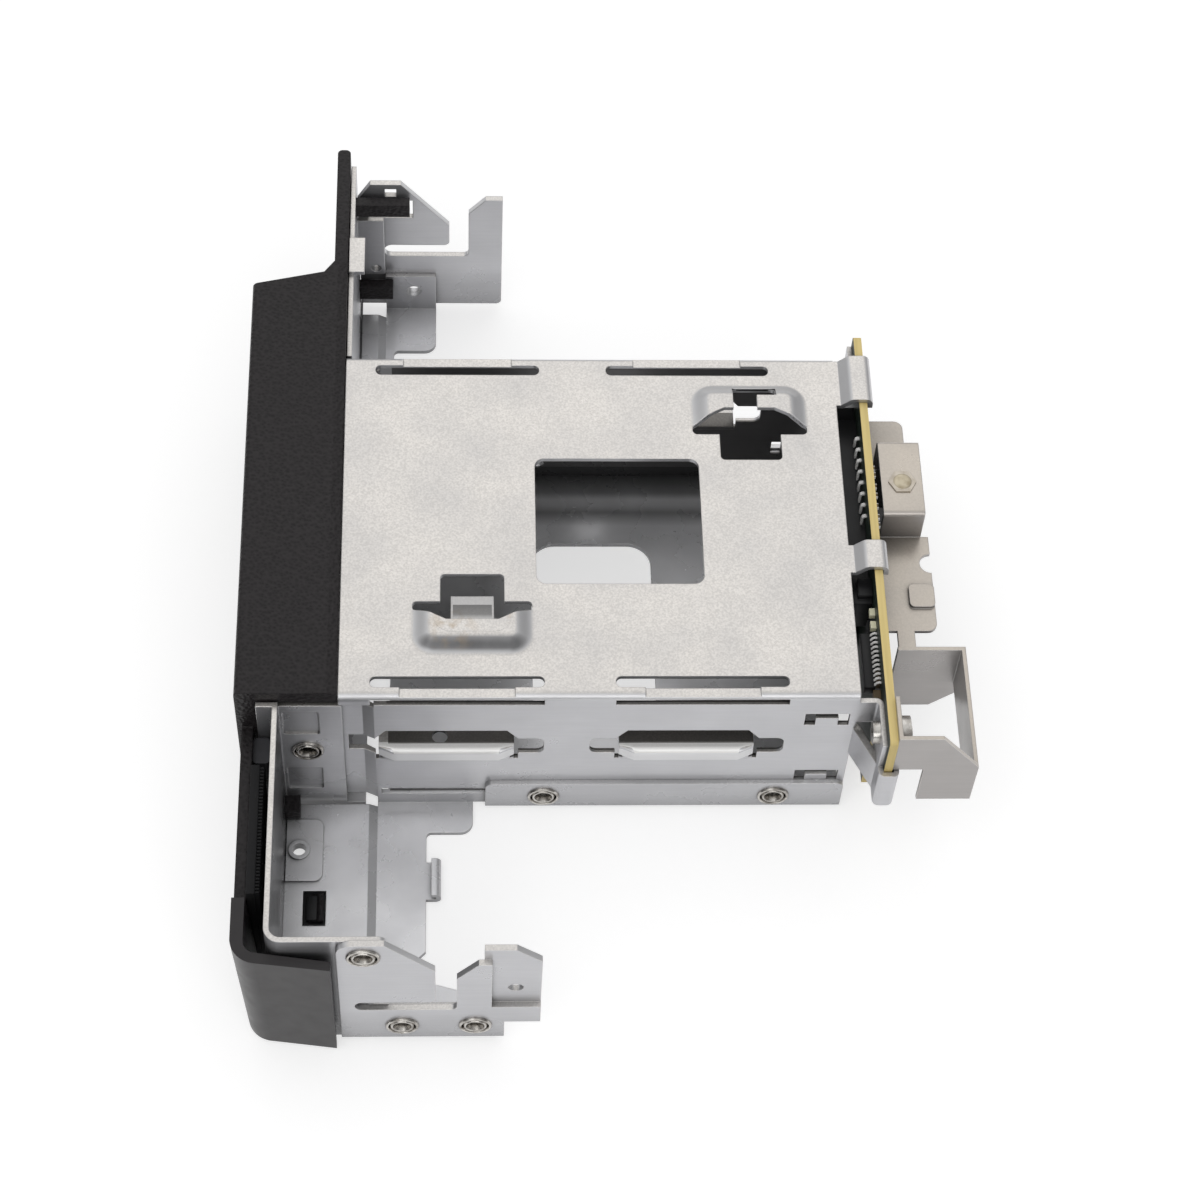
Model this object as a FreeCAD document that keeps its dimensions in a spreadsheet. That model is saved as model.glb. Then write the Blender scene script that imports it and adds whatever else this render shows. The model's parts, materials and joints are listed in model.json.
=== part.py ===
import FreeCAD, Part
import math
import os
import re

import Sketcher
from FreeCAD import Vector

# A two-bay cage for flat 2.5-inch drives. Lengths are millimetres.
# x runs from the drive mouth to the backplane, from the front edge of the top plate.
# y runs across the cage, from the outer face of its near wall. z is up from its underside.
# "drop" is a depth below the top plate.

SIZES = {
    # Cage sheet
    "sheet_gauge": 1.0,
    "bend_outside": 1.5,
    "bend_inside": 0.5,
    "cage_length": 98.0,
    "cage_width": 80.0,
    "cage_height": 41.0,
    "cut_overrun": 1.0,
    # Window in the top plate
    "window_front": 37.4,
    "window_length": 32.3,
    "window_near": 25.4,
    "window_width": 29.4,
    "window_corner": 2.0,
    # Slots along both long edges of the plate, two in a row
    "edge_slot_front": 5.9,
    "edge_slot_length": 32.7,
    "edge_slot_width": 2.4,
    "edge_slot_inset": 2.3,
    "edge_slot_corner": 1.1,
    "edge_step": 0.5,
    "edge_step_margin": 5.5,
    "wall_slot_drop": 2.7,
    "slot_pitch": 46.1,
    # Lanced wall openings with rolled drive ledges, two in a row
    "lance_front": 1.5,
    "lance_length": 37.3,
    "lance_top_drop": 15.2,
    "lance_bottom_drop": 20.6,
    "lance_end_radius": 1.5,
    "lance_step": 4.9,
    "lance_rise": 3.0,
    "lance_slant": 2.2,
    "lance_foot_drop": 22.7,
    "ledge_gap": 0.8,
    "ledge_drop": 18.0,
    "ledge_reach": 4.2,
    "ledge_bulge": 1.3,
    "ledge_roll": 1.2,
    "ledge_taper": 3.0,
    "ledge_hole_x": 18.9,
    "ledge_hole_y": 2.2,
    "ledge_hole": 3.0,
    # Tab windows near the rear edge of the walls
    "tab_window_rear": 1.4,
    "tab_window_length": 8.5,
    "tab_window_drop": 6.2,
    "tab_window_height": 4.1,
    "tab_margin": 2.1,
    "tab_height": 2.5,
    "low_window_drop": 27.7,
    "foot_slot_front": 7.4,
    "foot_slot_length": 20.3,
    "foot_slot_drop": 34.4,
    "foot_slot_height": 2.1,
    # Joggle that lets the front of the cage lap the frame
    "joggle_front": 4.4,
    "joggle_rear": 6.6,
    "lap_front": 9.8,
    "lap_low": 3.2,
    "lap_drop": 3.6,
    # Floor wing on the near side
    "wing_rear": 25.3,
    "wing_heel": 6.9,
    "wing_heel_corner": 2.5,
    "wing_neck": 16.2,
    "wing_step": 34.7,
    "wing_step_cut": 2.0,
    "wing_throat": 38.5,
    "wing_toe": 43.0,
    "wing_toe_rear": 29.8,
    "wing_corner": 1.0,
    "wing_flange_height": 12.0,
    "wing_slit": 1.0,
    "hook_roll_start": 21.6,
    "hook_roll_width": 8.1,
    "hook_roll": 2.9,
    "hook_roll_round": 1.3,
    "wing_reach": 48.4,
    # Floor wing on the far side
    "far_wing_front": 1.4,
    "far_wing_strip": 8.4,
    "far_wing_rear": 17.5,
    "far_wing_turn": 32.2,
    "far_wing_reach": 44.0,
    "bend_slot": 2.6,
    # Near floor features
    "pad_rear": 3.9,
    "pad_near": 18.2,
    "pad_far": 4.7,
    "pad_rise": 0.6,
    "pad_corner": 1.6,
    "pad_hole_x": 8.5,
    "pad_hole_y": 11.6,
    "pad_hole": 2.6,
    "pad_collar": 4.2,
    "pad_collar_rise": 0.5,
    "snap_hole_rear": 3.1,
    "snap_hole_length": 4.4,
    "snap_hole_near": 27.6,
    "snap_hole_width": 7.5,
    # Keyholes in the top plate under pressed bosses, one turned half round from the other
    "key_middle_x": 52.7,
    "key_middle_y": 41.1,
    "key_offset_x": 27.6,
    "key_offset_y": 19.7,
    "key_neck": 12.2,
    "key_depth": 6.2,
    "key_corner": 0.9,
    "key_shoulder": 22.8,
    "key_shoulder_length": 1.9,
    "key_taper": 10.0,
    "key_taper_length": 5.2,
    "key_hook_length": 10.9,
    "key_hook_width": 2.6,
    "key_hook_stem": 4.8,
    "key_hook_reach": 5.5,
    "key_hook_back": 3.2,
    "boss_width": 21.4,
    "boss_start": 1.0,
    "boss_end": 11.2,
    "boss_corner": 3.6,
    "boss_rise": 2.0,
    "boss_slope": 3.2,
    "tongue_width": 8.2,
    "tongue_root": 5.7,
    "tongue_end": 1.5,
    "tongue_dip": 0.6,
    # Rear clips over the board and rear curls round it
    "clip_ramp_start": 1.4,
    "clip_grip": 0.2,
    "clip_hook": 1.8,
    "clip_round": 1.6,
    "clip_far_start": 68.0,
    "clip_far_width": 11.0,
    "clip_mid_start": 28.0,
    "clip_mid_width": 6.3,
    "flange_reach": 9.5,
    "flange_drop": 2.0,
    "flange_height": 12.0,
    "curl_top_drop": 9.5,
    "curl_height": 11.1,
    "curl_gap": 0.3,
    "curl_return": 3.0,
    "curl_round": 1.2,
    "far_flange_reach": 4.4,
    "flange_slit_drop": 9.2,
    "leg_top_drop": 11.5,
    "leg_outset": 0.8,
    "leg_end": 8.6,
    # Bottom tray
    "tray_front": 8.6,
    "tray_flange_front": 27.7,
    "tray_flange_height": 9.7,
    "tray_clearance": 0.3,
    "tray_opening_front": 37.5,
    "tray_opening_rear": 62.5,
    "tray_opening_margin": 18.6,
    "tray_opening_corner": 5.0,
    # Front frame
    "frame_front": 12.2,
    "frame_drop": 1.5,
    "frame_floor_rear": 4.2,
    "frame_tab_rear": 0.6,
    "frame_tab_drop": 3.0,
    "frame_tab_front": 11.5,
    "frame_lip_reach": 3.1,
    "frame_lip_low": 18.0,
    "near_flange_rear": 9.6,
    "near_flange_low": 14.0,
    "near_flange_foot": 5.8,
    "frame_corner": 1.5,
    "frame_bend": 3.0,
    "emboss_front": 10.6,
    "emboss_length": 6.8,
    "emboss_depth": 0.5,
    "emboss_high_drop": 5.1,
    "emboss_low_drop": 26.0,
    "emboss_height": 8.2,
    "far_wall_end": 51.2,
    "far_wall_drop": 1.4,
    "far_tab_start": 22.0,
    "far_tab_width": 9.0,
    "far_tab_depth": 3.2,
    "far_flange_depth": 6.6,
    "far_flange_low": 13.0,
    "far_flange_high": 17.5,
    "arm_clearance": 0.4,
    # Hook brackets
    "hook_gauge": 1.2,
    "hook_corner": 1.2,
    "hook_slot_width": 3.2,
    "near_hook_front": 0.6,
    "near_hook_top": 1.0,
    "near_hook_top_rear": 9.3,
    "near_hook_tooth": 18.3,
    "near_hook_tooth_drop": 11.4,
    "near_slot_end": 3.4,
    "near_slot_drop": 24.4,
    "near_post_front": 22.2,
    "near_post_neck_drop": 14.7,
    "near_post_drop": 9.0,
    "near_post_shoulder": 26.2,
    "near_lap": 27.2,
    "near_lap_rear": 28.6,
    "near_tab_rear": 37.7,
    "near_tab_drop": 5.4,
    "near_tab_chamfer": 4.7,
    "near_tab_low": 33.0,
    "near_ledge_drop": 26.7,
    "near_hook_rear": 31.0,
    "near_hook_low": 39.4,
    "near_tab_hole_x": 33.0,
    "near_tab_hole_drop": 20.8,
    "near_tab_hole": 2.8,
    "far_hook_front": 1.2,
    "far_hook_top_front": 4.0,
    "far_hook_top": 0.0,
    "far_hook_top_rear": 10.4,
    "far_hook_tooth": 20.5,
    "far_hook_tooth_drop": 13.1,
    "far_slot_end": 6.5,
    "far_slot_drop": 19.5,
    "far_slot_width": 3.7,
    "far_post_front": 24.6,
    "far_post_neck_drop": 9.2,
    "far_post_drop": 4.8,
    "far_post_shoulder": 28.2,
    "far_hook_rear": 31.8,
    "far_hook_low": 39.4,
    "far_square_hole": 2.4,
    "far_square_front": 7.0,
    "far_square_drop": 1.4,
    "far_snap_drop": 5.0,
    "far_snap_height": 5.6,
    "far_snap_front": 3.4,
    "far_snap_rear": 12.8,
    "far_low_snap_drop": 31.4,
    "far_low_snap_height": 5.2,
    "far_low_snap_rear": 9.0,
    # Eyelets
    "eyelet_rim": 6.2,
    "eyelet_rim_height": 0.5,
    "eyelet_sleeve": 4.0,
    "eyelet_bore": 2.8,
    "tray_eyelet_front": 39.1,
    "tray_eyelet_pitch": 45.3,
    "tray_eyelet_drop": 35.8,
    "tab_eyelet_x": 6.3,
    "tab_eyelet_drop": 19.4,
    "near_eyelet_high_x": 5.5,
    "near_eyelet_high_drop": 5.4,
    "near_eyelet_low_x": 12.0,
    "near_eyelet_low_pitch": 13.6,
    "near_eyelet_low_drop": 34.1,
    # Plain holes at the far end
    "far_hole": 3.3,
    "far_hole_x": 12.7,
    "far_hole_drop": 34.0,
    "far_small_hole": 2.2,
    "far_small_hole_x": 4.7,
    "far_small_hole_drop": 26.2,
    # Front bezel
    "bezel_front": 19.3,
    "bezel_gap": 0.2,
    "bezel_near": 0.3,
    "bezel_rise": 1.2,
    "bezel_low": 1.1,
    "bezel_edge": 1.0,
    "bezel_chamfer": 2.0,
    "bezel_chamfer_fall": 0.7,
    "bezel_slant_start": 97.2,
    "bezel_slant_end": 100.7,
    "bezel_slant_depth": 14.4,
    "bezel_plate_start": 103.5,
    "bezel_plate": 2.7,
    "bezel_plate_end": 134.5,
    "bezel_plate_drop": 0.0,
    "bezel_plate_corner": 1.0,
    "bay_near": 3.4,
    "bay_low": 2.7,
    "bay_drop": 1.8,
    "bay_corner": 1.2,
    "bezel_wall": 2.2,
    "bezel_inset": 0.9,
    "bezel_low_drop": 11.0,
    "bezel_low_end": 38.3,
    "arm_thickness": 0.8,
    "arm_low": 0.2,
    "arm_width": 6.0,
    "wedge_rise": 0.7,
    "far_arm_near": 121.5,
    "far_arm_width": 2.2,
    "far_arm_high_drop": 2.6,
    "far_arm_high_height": 3.6,
    "far_arm_high_rear": 12.2,
    "far_arm_low_drop": 29.7,
    "far_arm_low_height": 4.0,
    "far_arm_low_rear": 8.2,
    "snap_clip_near": 4.8,
    "snap_clip_width": 3.6,
    "snap_clip_low": 3.4,
    "snap_clip_height": 2.6,
    "snap_clip_rear": 8.4,
    # Bezel end cap, drawn at its rim and at its foot
    "cap_seam": 0.2,
    "cap_drop": 5.5,
    "cap_low": 1.0,
    "cap_wall": 2.4,
    "cap_side_wall": 1.8,
    "cap_corner_y": 51.0,
    "cap_round": 5.0,
    "cap_end_y": 53.2,
    "cap_rear": 0.3,
    "cap_draft": 1.4,
    "cap_side_draft": 0.6,
    # Latch and gasket strip
    "latch_width": 5.6,
    "latch_drop": 12.5,
    "latch_height": 5.0,
    "latch_rear": 13.0,
    "latch_corner": 0.8,
    "gasket_start": 9.0,
    "gasket_end": 36.0,
    "gasket_drop": 9.0,
    "gasket_low": 4.0,
    "gasket_back": 1.2,
    "gasket_rib": 0.9,
    "gasket_rib_depth": 1.4,
    "gasket_pitch": 1.8,
    # Backplane board
    "board_gap": 4.5,
    "board_gauge": 1.6,
    "board_near": 10.5,
    "board_far": 85.0,
    "board_rise": 0.8,
    "board_low": 3.0,
    "board_ear_drop": 19.5,
    "board_ear": 3.0,
    "board_corner": 1.0,
    # Drive connectors
    "plug_near": 30.0,
    "plug_width": 42.4,
    "plug_depth": 8.6,
    "plug_height": 6.6,
    "plug_drop": 5.6,
    "plug_pitch": 18.8,
    "plug_ear": 4.0,
    "plug_ear_height": 4.4,
    "plug_slot_height": 2.6,
    "plug_slot_depth": 6.0,
    "plug_slot_start": 2.6,
    "contact_width": 0.6,
    "contact_gauge": 0.3,
    "contact_pitch": 1.27,
    "contact_length": 4.6,
    # Rear sockets on the board
    "socket_near": 29.0,
    "socket_width": 12.6,
    "socket_depth": 7.6,
    "socket_drop": 12.0,
    "socket_height": 9.0,
    "socket_wall": 1.0,
    "socket_tongue": 1.6,
    "power_near": 51.7,
    "power_pins": 2.0,
    "power_pitch": 4.2,
    "power_height": 9.6,
    "power_depth": 8.4,
    "power_cavity": 3.2,
    # Small components on the board's front face
    "chip_near": 9.0,
    "chip_width": 5.0,
    "chip_height": 4.0,
    "chip_depth": 1.2,
    "chip_drop": 6.0,
    "chip_pitch": 7.0,
    "capacitor_near": 1.6,
    "capacitor_width": 3.0,
    "capacitor_height": 1.6,
    "capacitor_depth": 1.4,
    "capacitor_drop": 5.0,
    "capacitor_pitch": 4.2,
    "led_near": 17.2,
    "led_width": 1.6,
    "led_height": 1.2,
    "led_depth": 1.1,
    "led_drop": 3.0,
    "led_pitch": 2.9,
    # Rear bracket, its places along x measured from the rear face of the board
    "rear_gauge": 0.8,
    "rear_front": 1.5,
    "rear_block_start": 42.0,
    "rear_block_end": 59.7,
    "rear_block_drop": 0.5,
    "rear_block_rear": 9.7,
    "rear_plate_drop": 8.5,
    "rear_plate_end": 20.0,
    "rear_plate_rear": 11.2,
    "rear_tab_end": 70.3,
    "rear_tab_rear": 8.3,
    "rear_notch_y": 35.7,
    "rear_notch": 4.4,
    "rear_emboss_start": 25.2,
    "rear_emboss_width": 5.3,
    "rear_emboss_front": 6.2,
    "rear_emboss_rise": 0.7,
    "rear_neck_front": 3.3,
    "rear_neck_width": 3.4,
    "loop_far": 16.4,
    "loop_near": 10.4,
    "loop_rear": 16.3,
    "loop_left": 3.1,
    "loop_foot_drop": 29.0,
    "loop_cut": 4.6,
    "loop_near_top": 2.0,
    "loop_near_shoulder": 8.4,
    "loop_near_foot": 20.6,
    "loop_foot_left": 5.9,
    "mount_flange_far": 1.0,
    "anchor_start": 61.5,
    "anchor_width": 7.5,
    "anchor_foot": 20.0,
    "rear_corner": 1.0,
    "rear_plate_corner": 1.8,
    # Hex insert, clinch nut and screw
    "insert_flats": 4.8,
    "insert_body": 4.0,
    "insert_bore": 2.5,
    "insert_length": 6.0,
    "insert_head": 1.0,
    "insert_x": 5.7,
    "insert_y": 49.6,
    "screw_y": 5.0,
    "screw_drop": 4.5,
    "screw_thread": 2.5,
    "screw_clearance": 0.4,
    "screw_head": 4.4,
    "screw_head_height": 1.4,
    "screw_recess": 1.6,
    "screw_recess_depth": 0.8,
    "screw_end": 0.4,
    "nut_body": 6.3,
    "nut_shank": 4.4,
    "nut_height": 2.3,
    "thread_clearance": 0.1,
    "insert_rise": 0.3,
}

doc = FreeCAD.newDocument("hard_drive_cage")
sheet = doc.addObject("Spreadsheet::Sheet", "Sizes")
for row, (alias, size) in enumerate(SIZES.items(), 1):
    sheet.set("A%d" % row, alias)
    sheet.set("B%d" % row, str(size))
    sheet.setAlias("B%d" % row, alias)
doc.recompute()

# Planes for sketches: each one's role, and the side of it that its normal faces
PLANES = {"XY": ("XY_Plane", 1), "XZ": ("XZ_Plane", -1), "YZ": ("YZ_Plane", 1)}

parts = []


def formula(text):
    """Turn the names of sizes into references to the sheet."""
    return re.sub(r"[a-z_]+", lambda word: "Sizes." * (word.group(0) in SIZES) + word.group(0), str(text))


def size_of(text):
    """The present value of a formula."""
    return float(sheet.evalExpression(formula(text)))


def below(drop):
    """Height of a point that lies this far below the top plate."""
    return "cage_height - (%s)" % drop


def mirrored(y):
    """The same distance, measured in from the far wall."""
    return "cage_width - (%s)" % y


def rectangle(left, right, low, high, corner=None):
    """Corners of a rectangle, all rounded alike."""
    return [(left, low, corner), (right, low, corner), (right, high, corner), (left, high, corner)]


def circle(across, up, diameter):
    return (across, up, diameter)


def new_body(label):
    """An empty body, drawn in the cage's own frame."""
    body = doc.addObject("PartDesign::Body", label)
    body.Label = label
    body.AllowCompound = True
    return body


def keep(item):
    """List a finished piece, moved so that the part's origin is the middle of its underside."""
    item.setExpression("Placement.Base.x", formula("(bezel_front - (%s)) / 2" % behind("loop_rear")))
    item.setExpression("Placement.Base.y", formula("(cap_end_y - bezel_plate_end) / 2"))
    parts.append(item)


def new_piece(label):
    """A piece made of a single body."""
    body = new_body(label)
    keep(body)
    return body


def join(label, bodies):
    """One piece made of bodies that run into each other."""
    whole = doc.addObject("Part::MultiFuse", label)
    whole.Label = label
    whole.Shapes = bodies
    whole.Refine = True
    keep(whole)


def add_outline(sketch, corners):
    """Draw one closed outline whose corners, and their radii, follow the sheet."""
    places = [(size_of(corner[0]), size_of(corner[1])) for corner in corners]
    count = len(corners)
    first = sketch.GeometryCount
    for index, (x, y) in enumerate(places):
        ahead = places[(index + 1) % count]
        sketch.addGeometry(Part.LineSegment(Vector(x, y, 0), Vector(ahead[0], ahead[1], 0)), False)
    for index in range(count):
        ahead = first + (index + 1) % count
        sketch.addConstraint(Sketcher.Constraint("Coincident", first + index, 2, ahead, 1))
    for index, corner in enumerate(corners):
        for kind, place, text in zip(("DistanceX", "DistanceY"), places[index], corner):
            bind(sketch, Sketcher.Constraint(kind, -1, 1, first + index, 1, place), text)
    for index, corner in enumerate(corners):
        if len(corner) > 2 and corner[2]:
            round_corner(sketch, first, count, index, places, corner[2])


def bind(sketch, constraint, text):
    """Add a dimension to a sketch and tie it to the sheet."""
    number = sketch.addConstraint(constraint)
    sketch.setExpression("Constraints[%d]" % number, formula(text))


def round_corner(sketch, first, count, index, places, radius):
    """Round one corner of an outline, leaving its corner point where the sheet puts it."""
    corner = Vector(*places[index], 0)
    behind = Vector(*places[index - 1], 0)
    ahead = Vector(*places[(index + 1) % count], 0)
    reach = size_of(radius)
    toward_behind = corner + (behind - corner).normalize() * reach
    toward_ahead = corner + (ahead - corner).normalize() * reach
    line_in = first + (index - 1) % count
    line_out = first + index
    arc = sketch.GeometryCount
    sketch.fillet(line_in, line_out, toward_behind, toward_ahead, reach, True, True)
    bind(sketch, Sketcher.Constraint("Radius", arc, reach), radius)


def add_circle(sketch, across, up, diameter):
    centre = Vector(size_of(across), size_of(up), 0)
    index = sketch.addGeometry(Part.Circle(centre, Vector(0, 0, 1), size_of(diameter) / 2), False)
    bind(sketch, Sketcher.Constraint("DistanceX", -1, 1, index, 3, centre.x), across)
    bind(sketch, Sketcher.Constraint("DistanceY", -1, 1, index, 3, centre.y), up)
    bind(sketch, Sketcher.Constraint("Diameter", index, size_of(diameter)), diameter)


def draw(body, plane, level, shapes):
    """Sketch outlines and circles on one of the body's own planes, moved along its axis to a level."""
    role, side = PLANES[plane]
    sketch = body.newObject("Sketcher::SketchObject", body.Label + "_sketch")
    support = [feature for feature in body.Origin.OriginFeatures if feature.Role == role][0]
    sketch.AttachmentSupport = (support, [""])
    sketch.MapMode = "FlatFace"
    offset = level if side > 0 else "-(%s)" % level
    sketch.setExpression("AttachmentOffset.Base.z", formula(offset))
    for shape in shapes:
        if isinstance(shape, tuple):
            add_circle(sketch, *shape)
        else:
            add_outline(sketch, shape)
    return sketch


def pad(body, plane, level, depth, *shapes):
    """Add material from a level towards the positive axis."""
    feature = body.newObject("PartDesign::Pad", body.Label + "_pad")
    feature.Profile = draw(body, plane, level, shapes)
    feature.setExpression("Length", formula(depth))
    feature.Reversed = PLANES[plane][1] < 0
    body.Tip = feature
    return feature


def cut(body, plane, level, depth, *shapes):
    """Take material away from a level towards the positive axis."""
    feature = body.newObject("PartDesign::Pocket", body.Label + "_pocket")
    feature.Profile = draw(body, plane, level, shapes)
    feature.setExpression("Length", formula(depth))
    feature.Reversed = PLANES[plane][1] > 0
    body.Tip = feature
    return feature


def loft(body, kind, first, second):
    """Add or take away, as kind says, the straight-sided form between two sketches."""
    feature = body.newObject("PartDesign::%sLoft" % kind, body.Label + "_loft")
    feature.Profile = first
    feature.Sections = [second]
    feature.Ruled = True
    body.Tip = feature
    return feature


def repeat(body, feature, role, pitch, count):
    """Repeat a feature along one of the body's axes."""
    pattern = body.newObject("PartDesign::LinearPattern", body.Label + "_row")
    pattern.Originals = [feature]
    axis = [item for item in body.Origin.OriginFeatures if item.Role == role][0]
    pattern.Direction = (axis, [""])
    pattern.setExpression("Length", formula("(%s) * (%s - 1)" % (pitch, count)))
    pattern.setExpression("Occurrences", formula(count))
    body.Tip = pattern
    return pattern


def round_edges(body, radius, wanted):
    """Fillet those edges of the body that lie where wanted says."""
    doc.recompute()
    tip = body.Tip
    names = []
    for number, edge in enumerate(tip.Shape.Edges, 1):
        if wanted(edge.BoundBox):
            names.append("Edge%d" % number)
    feature = body.newObject("PartDesign::Fillet", body.Label + "_fillet")
    feature.Base = (tip, names)
    feature.setExpression("Radius", formula(radius))
    body.Tip = feature
    return feature


def near_to(first, second):
    return math.isclose(first, second, abs_tol=0.01)


# Levels that several pieces share
BOARD_FRONT = "cage_length + board_gap"
BOARD_REAR = BOARD_FRONT + " + board_gauge"
FAR_END = "cage_width + far_wing_reach + sheet_gauge"
NEAR_END = "-wing_reach - sheet_gauge"
CURL_FRONT = "-board_near - curl_gap - sheet_gauge"
INSERT_X = BOARD_REAR + " + insert_x"
# Where a cut through either wall of the cage starts
WALL_FACES = ["-sheet_gauge", mirrored("3 * sheet_gauge")]


def behind(offset):
    """A place along x, measured from the rear face of the board."""
    return "%s + %s" % (BOARD_REAR, offset)


def joggle(front):
    """Section of a sheet that steps in by one gauge ahead of the joggle, from the joggle's rear to front."""
    return [
        ("joggle_rear", "0"),
        ("joggle_rear", "sheet_gauge"),
        ("joggle_front + bend_inside", "2 * sheet_gauge"),
        (front, "2 * sheet_gauge"),
        (front, "sheet_gauge"),
        ("joggle_front", "sheet_gauge"),
    ]


def flipped(corners):
    """The same section seen from the far wall."""
    return [(corner[0], mirrored(corner[1])) for corner in corners]


def key_outline(side, corners):
    """Place an outline drawn about a keyhole's throat; side is 1, or -1 for the one turned half round."""
    placed = []
    for corner in corners:
        across = "key_middle_x + %d * (key_offset_x + %s)" % (side, corner[0])
        along = "key_middle_y + %d * (key_offset_y + %s)" % (side, corner[1])
        placed.append((across, along) + tuple(corner[2:]))
    return placed


def make_cage_shell():
    bodies = [make_cage_hat(), make_cage_ledges(), make_cage_laps(), make_cage_wings(), make_cage_rear()]
    join("cage_shell", bodies)


def make_cage_hat():
    """Top plate and walls, with the pressed bosses and every opening cut through them."""
    body = new_body("cage_hat")
    wall_foot = "sheet_gauge"
    hat = [
        ("0", wall_foot),
        ("0", "cage_height", "bend_outside"),
        ("cage_width", "cage_height", "bend_outside"),
        ("cage_width", wall_foot),
        ("cage_width - sheet_gauge", wall_foot),
        ("cage_width - sheet_gauge", below("sheet_gauge")),
        ("sheet_gauge", below("sheet_gauge")),
        ("sheet_gauge", wall_foot),
    ]
    pad(body, "YZ", "0", "cage_length", hat)
    for side in (1, -1):
        press_boss(body, side)
    window = rectangle("window_front", "window_front + window_length", "window_near",
                       "window_near + window_width", "window_corner")
    cut(body, "XY", below("2 * sheet_gauge"), "3 * sheet_gauge + boss_rise", window, keyhole(1), keyhole(-1),
        *edge_slots())
    cut(body, "XY", below("edge_step"), "sheet_gauge", *edge_strips())
    front_relief = rectangle("-cut_overrun", "joggle_rear", "0", below("wall_slot_drop"))
    for face, hole in zip(WALL_FACES, ("eyelet_sleeve", "eyelet_bore")):
        cut(body, "XZ", face, "4 * sheet_gauge", front_relief)
        cut(body, "XZ", face, "4 * sheet_gauge", *wall_openings(), *circles(TRAY_EYELETS, hole))
    # Tongue that slopes down from the mouth of the near boss
    tongue_root = "key_middle_y - key_offset_y - tongue_root"
    tongue_end = "key_middle_y - key_offset_y + tongue_end"
    pad(body, "YZ", "key_middle_x - key_offset_x - tongue_width / 2", "tongue_width", [
        (tongue_root, "cage_height + boss_rise - sheet_gauge"),
        (tongue_end, below("tongue_dip + sheet_gauge")),
        (tongue_end, below("tongue_dip")),
        (tongue_root, "cage_height + boss_rise"),
    ])
    return body


def press_boss(body, side):
    """A boss pressed up from the plate beside a keyhole, open towards its throat."""

    def plan(inset):
        half = "(boss_width / 2 - %s)" % inset
        far = "boss_end - " + inset
        return key_outline(side, [
            ("-" + half, "boss_start"),
            (half, "boss_start"),
            (half, far, "boss_corner"),
            ("-" + half, far, "boss_corner"),
        ])

    loft(body, "Additive", draw(body, "XY", "cage_height", [plan("0")]),
         draw(body, "XY", "cage_height + boss_rise", [plan("boss_slope")]))
    loft(body, "Subtractive", draw(body, "XY", below("sheet_gauge"), [plan("0")]),
         draw(body, "XY", below("sheet_gauge - boss_rise"), [plan("boss_slope")]))


def keyhole(side):
    """Neck and shoulders of a keyhole, with a hooked slot through the far boss."""
    stem = "key_hook_stem - key_hook_back"
    hook_low = "key_hook_length - key_hook_width"
    hook = [
        (stem, "key_taper_length"),
        (stem, hook_low),
        ("key_hook_reach", hook_low, "key_hook_width / 2.1"),
        ("key_hook_reach", "key_hook_length", "key_hook_width / 2.1"),
        ("-key_hook_back", "key_hook_length", "key_corner"),
        ("-key_hook_back", "key_taper_length"),
    ]
    return key_outline(side, [
        ("-key_neck / 2", "-key_depth", "key_corner"),
        ("key_neck / 2", "-key_depth", "key_corner"),
        ("key_neck / 2", "0"),
        ("key_shoulder / 2", "0", "key_corner"),
        ("key_shoulder / 2", "key_shoulder_length", "key_corner"),
        ("key_taper / 2", "key_taper_length"),
    ] + hook * (side > 0) + [
        ("-key_taper / 2", "key_taper_length"),
        ("-key_shoulder / 2", "key_shoulder_length", "key_corner"),
        ("-key_shoulder / 2", "0", "key_corner"),
        ("-key_neck / 2", "0"),
    ])


def edge_slots():
    """Slots along both long edges of the plate."""
    slots = []
    inner_edge = "edge_slot_inset + edge_slot_width"
    for step in ("0", "slot_pitch"):
        left = "edge_slot_front + " + step
        right = left + " + edge_slot_length"
        slots.append(rectangle(left, right, "edge_slot_inset", inner_edge, "edge_slot_corner"))
        slots.append(rectangle(left, right, mirrored(inner_edge), mirrored("edge_slot_inset"),
                               "edge_slot_corner"))
    return slots


def edge_strips():
    """Strips of the plate between the edge slots and the walls, set down below the plate."""
    strips = []
    for step in ("0", "slot_pitch"):
        left = "edge_slot_front + edge_step_margin + " + step
        right = left + " + edge_slot_length - 2 * edge_step_margin"
        inner_edge = "edge_slot_inset + cut_overrun"
        strips.append(rectangle(left, right, "-cut_overrun", inner_edge))
        strips.append(rectangle(left, right, mirrored(inner_edge), "cage_width + cut_overrun"))
    return strips


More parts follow.
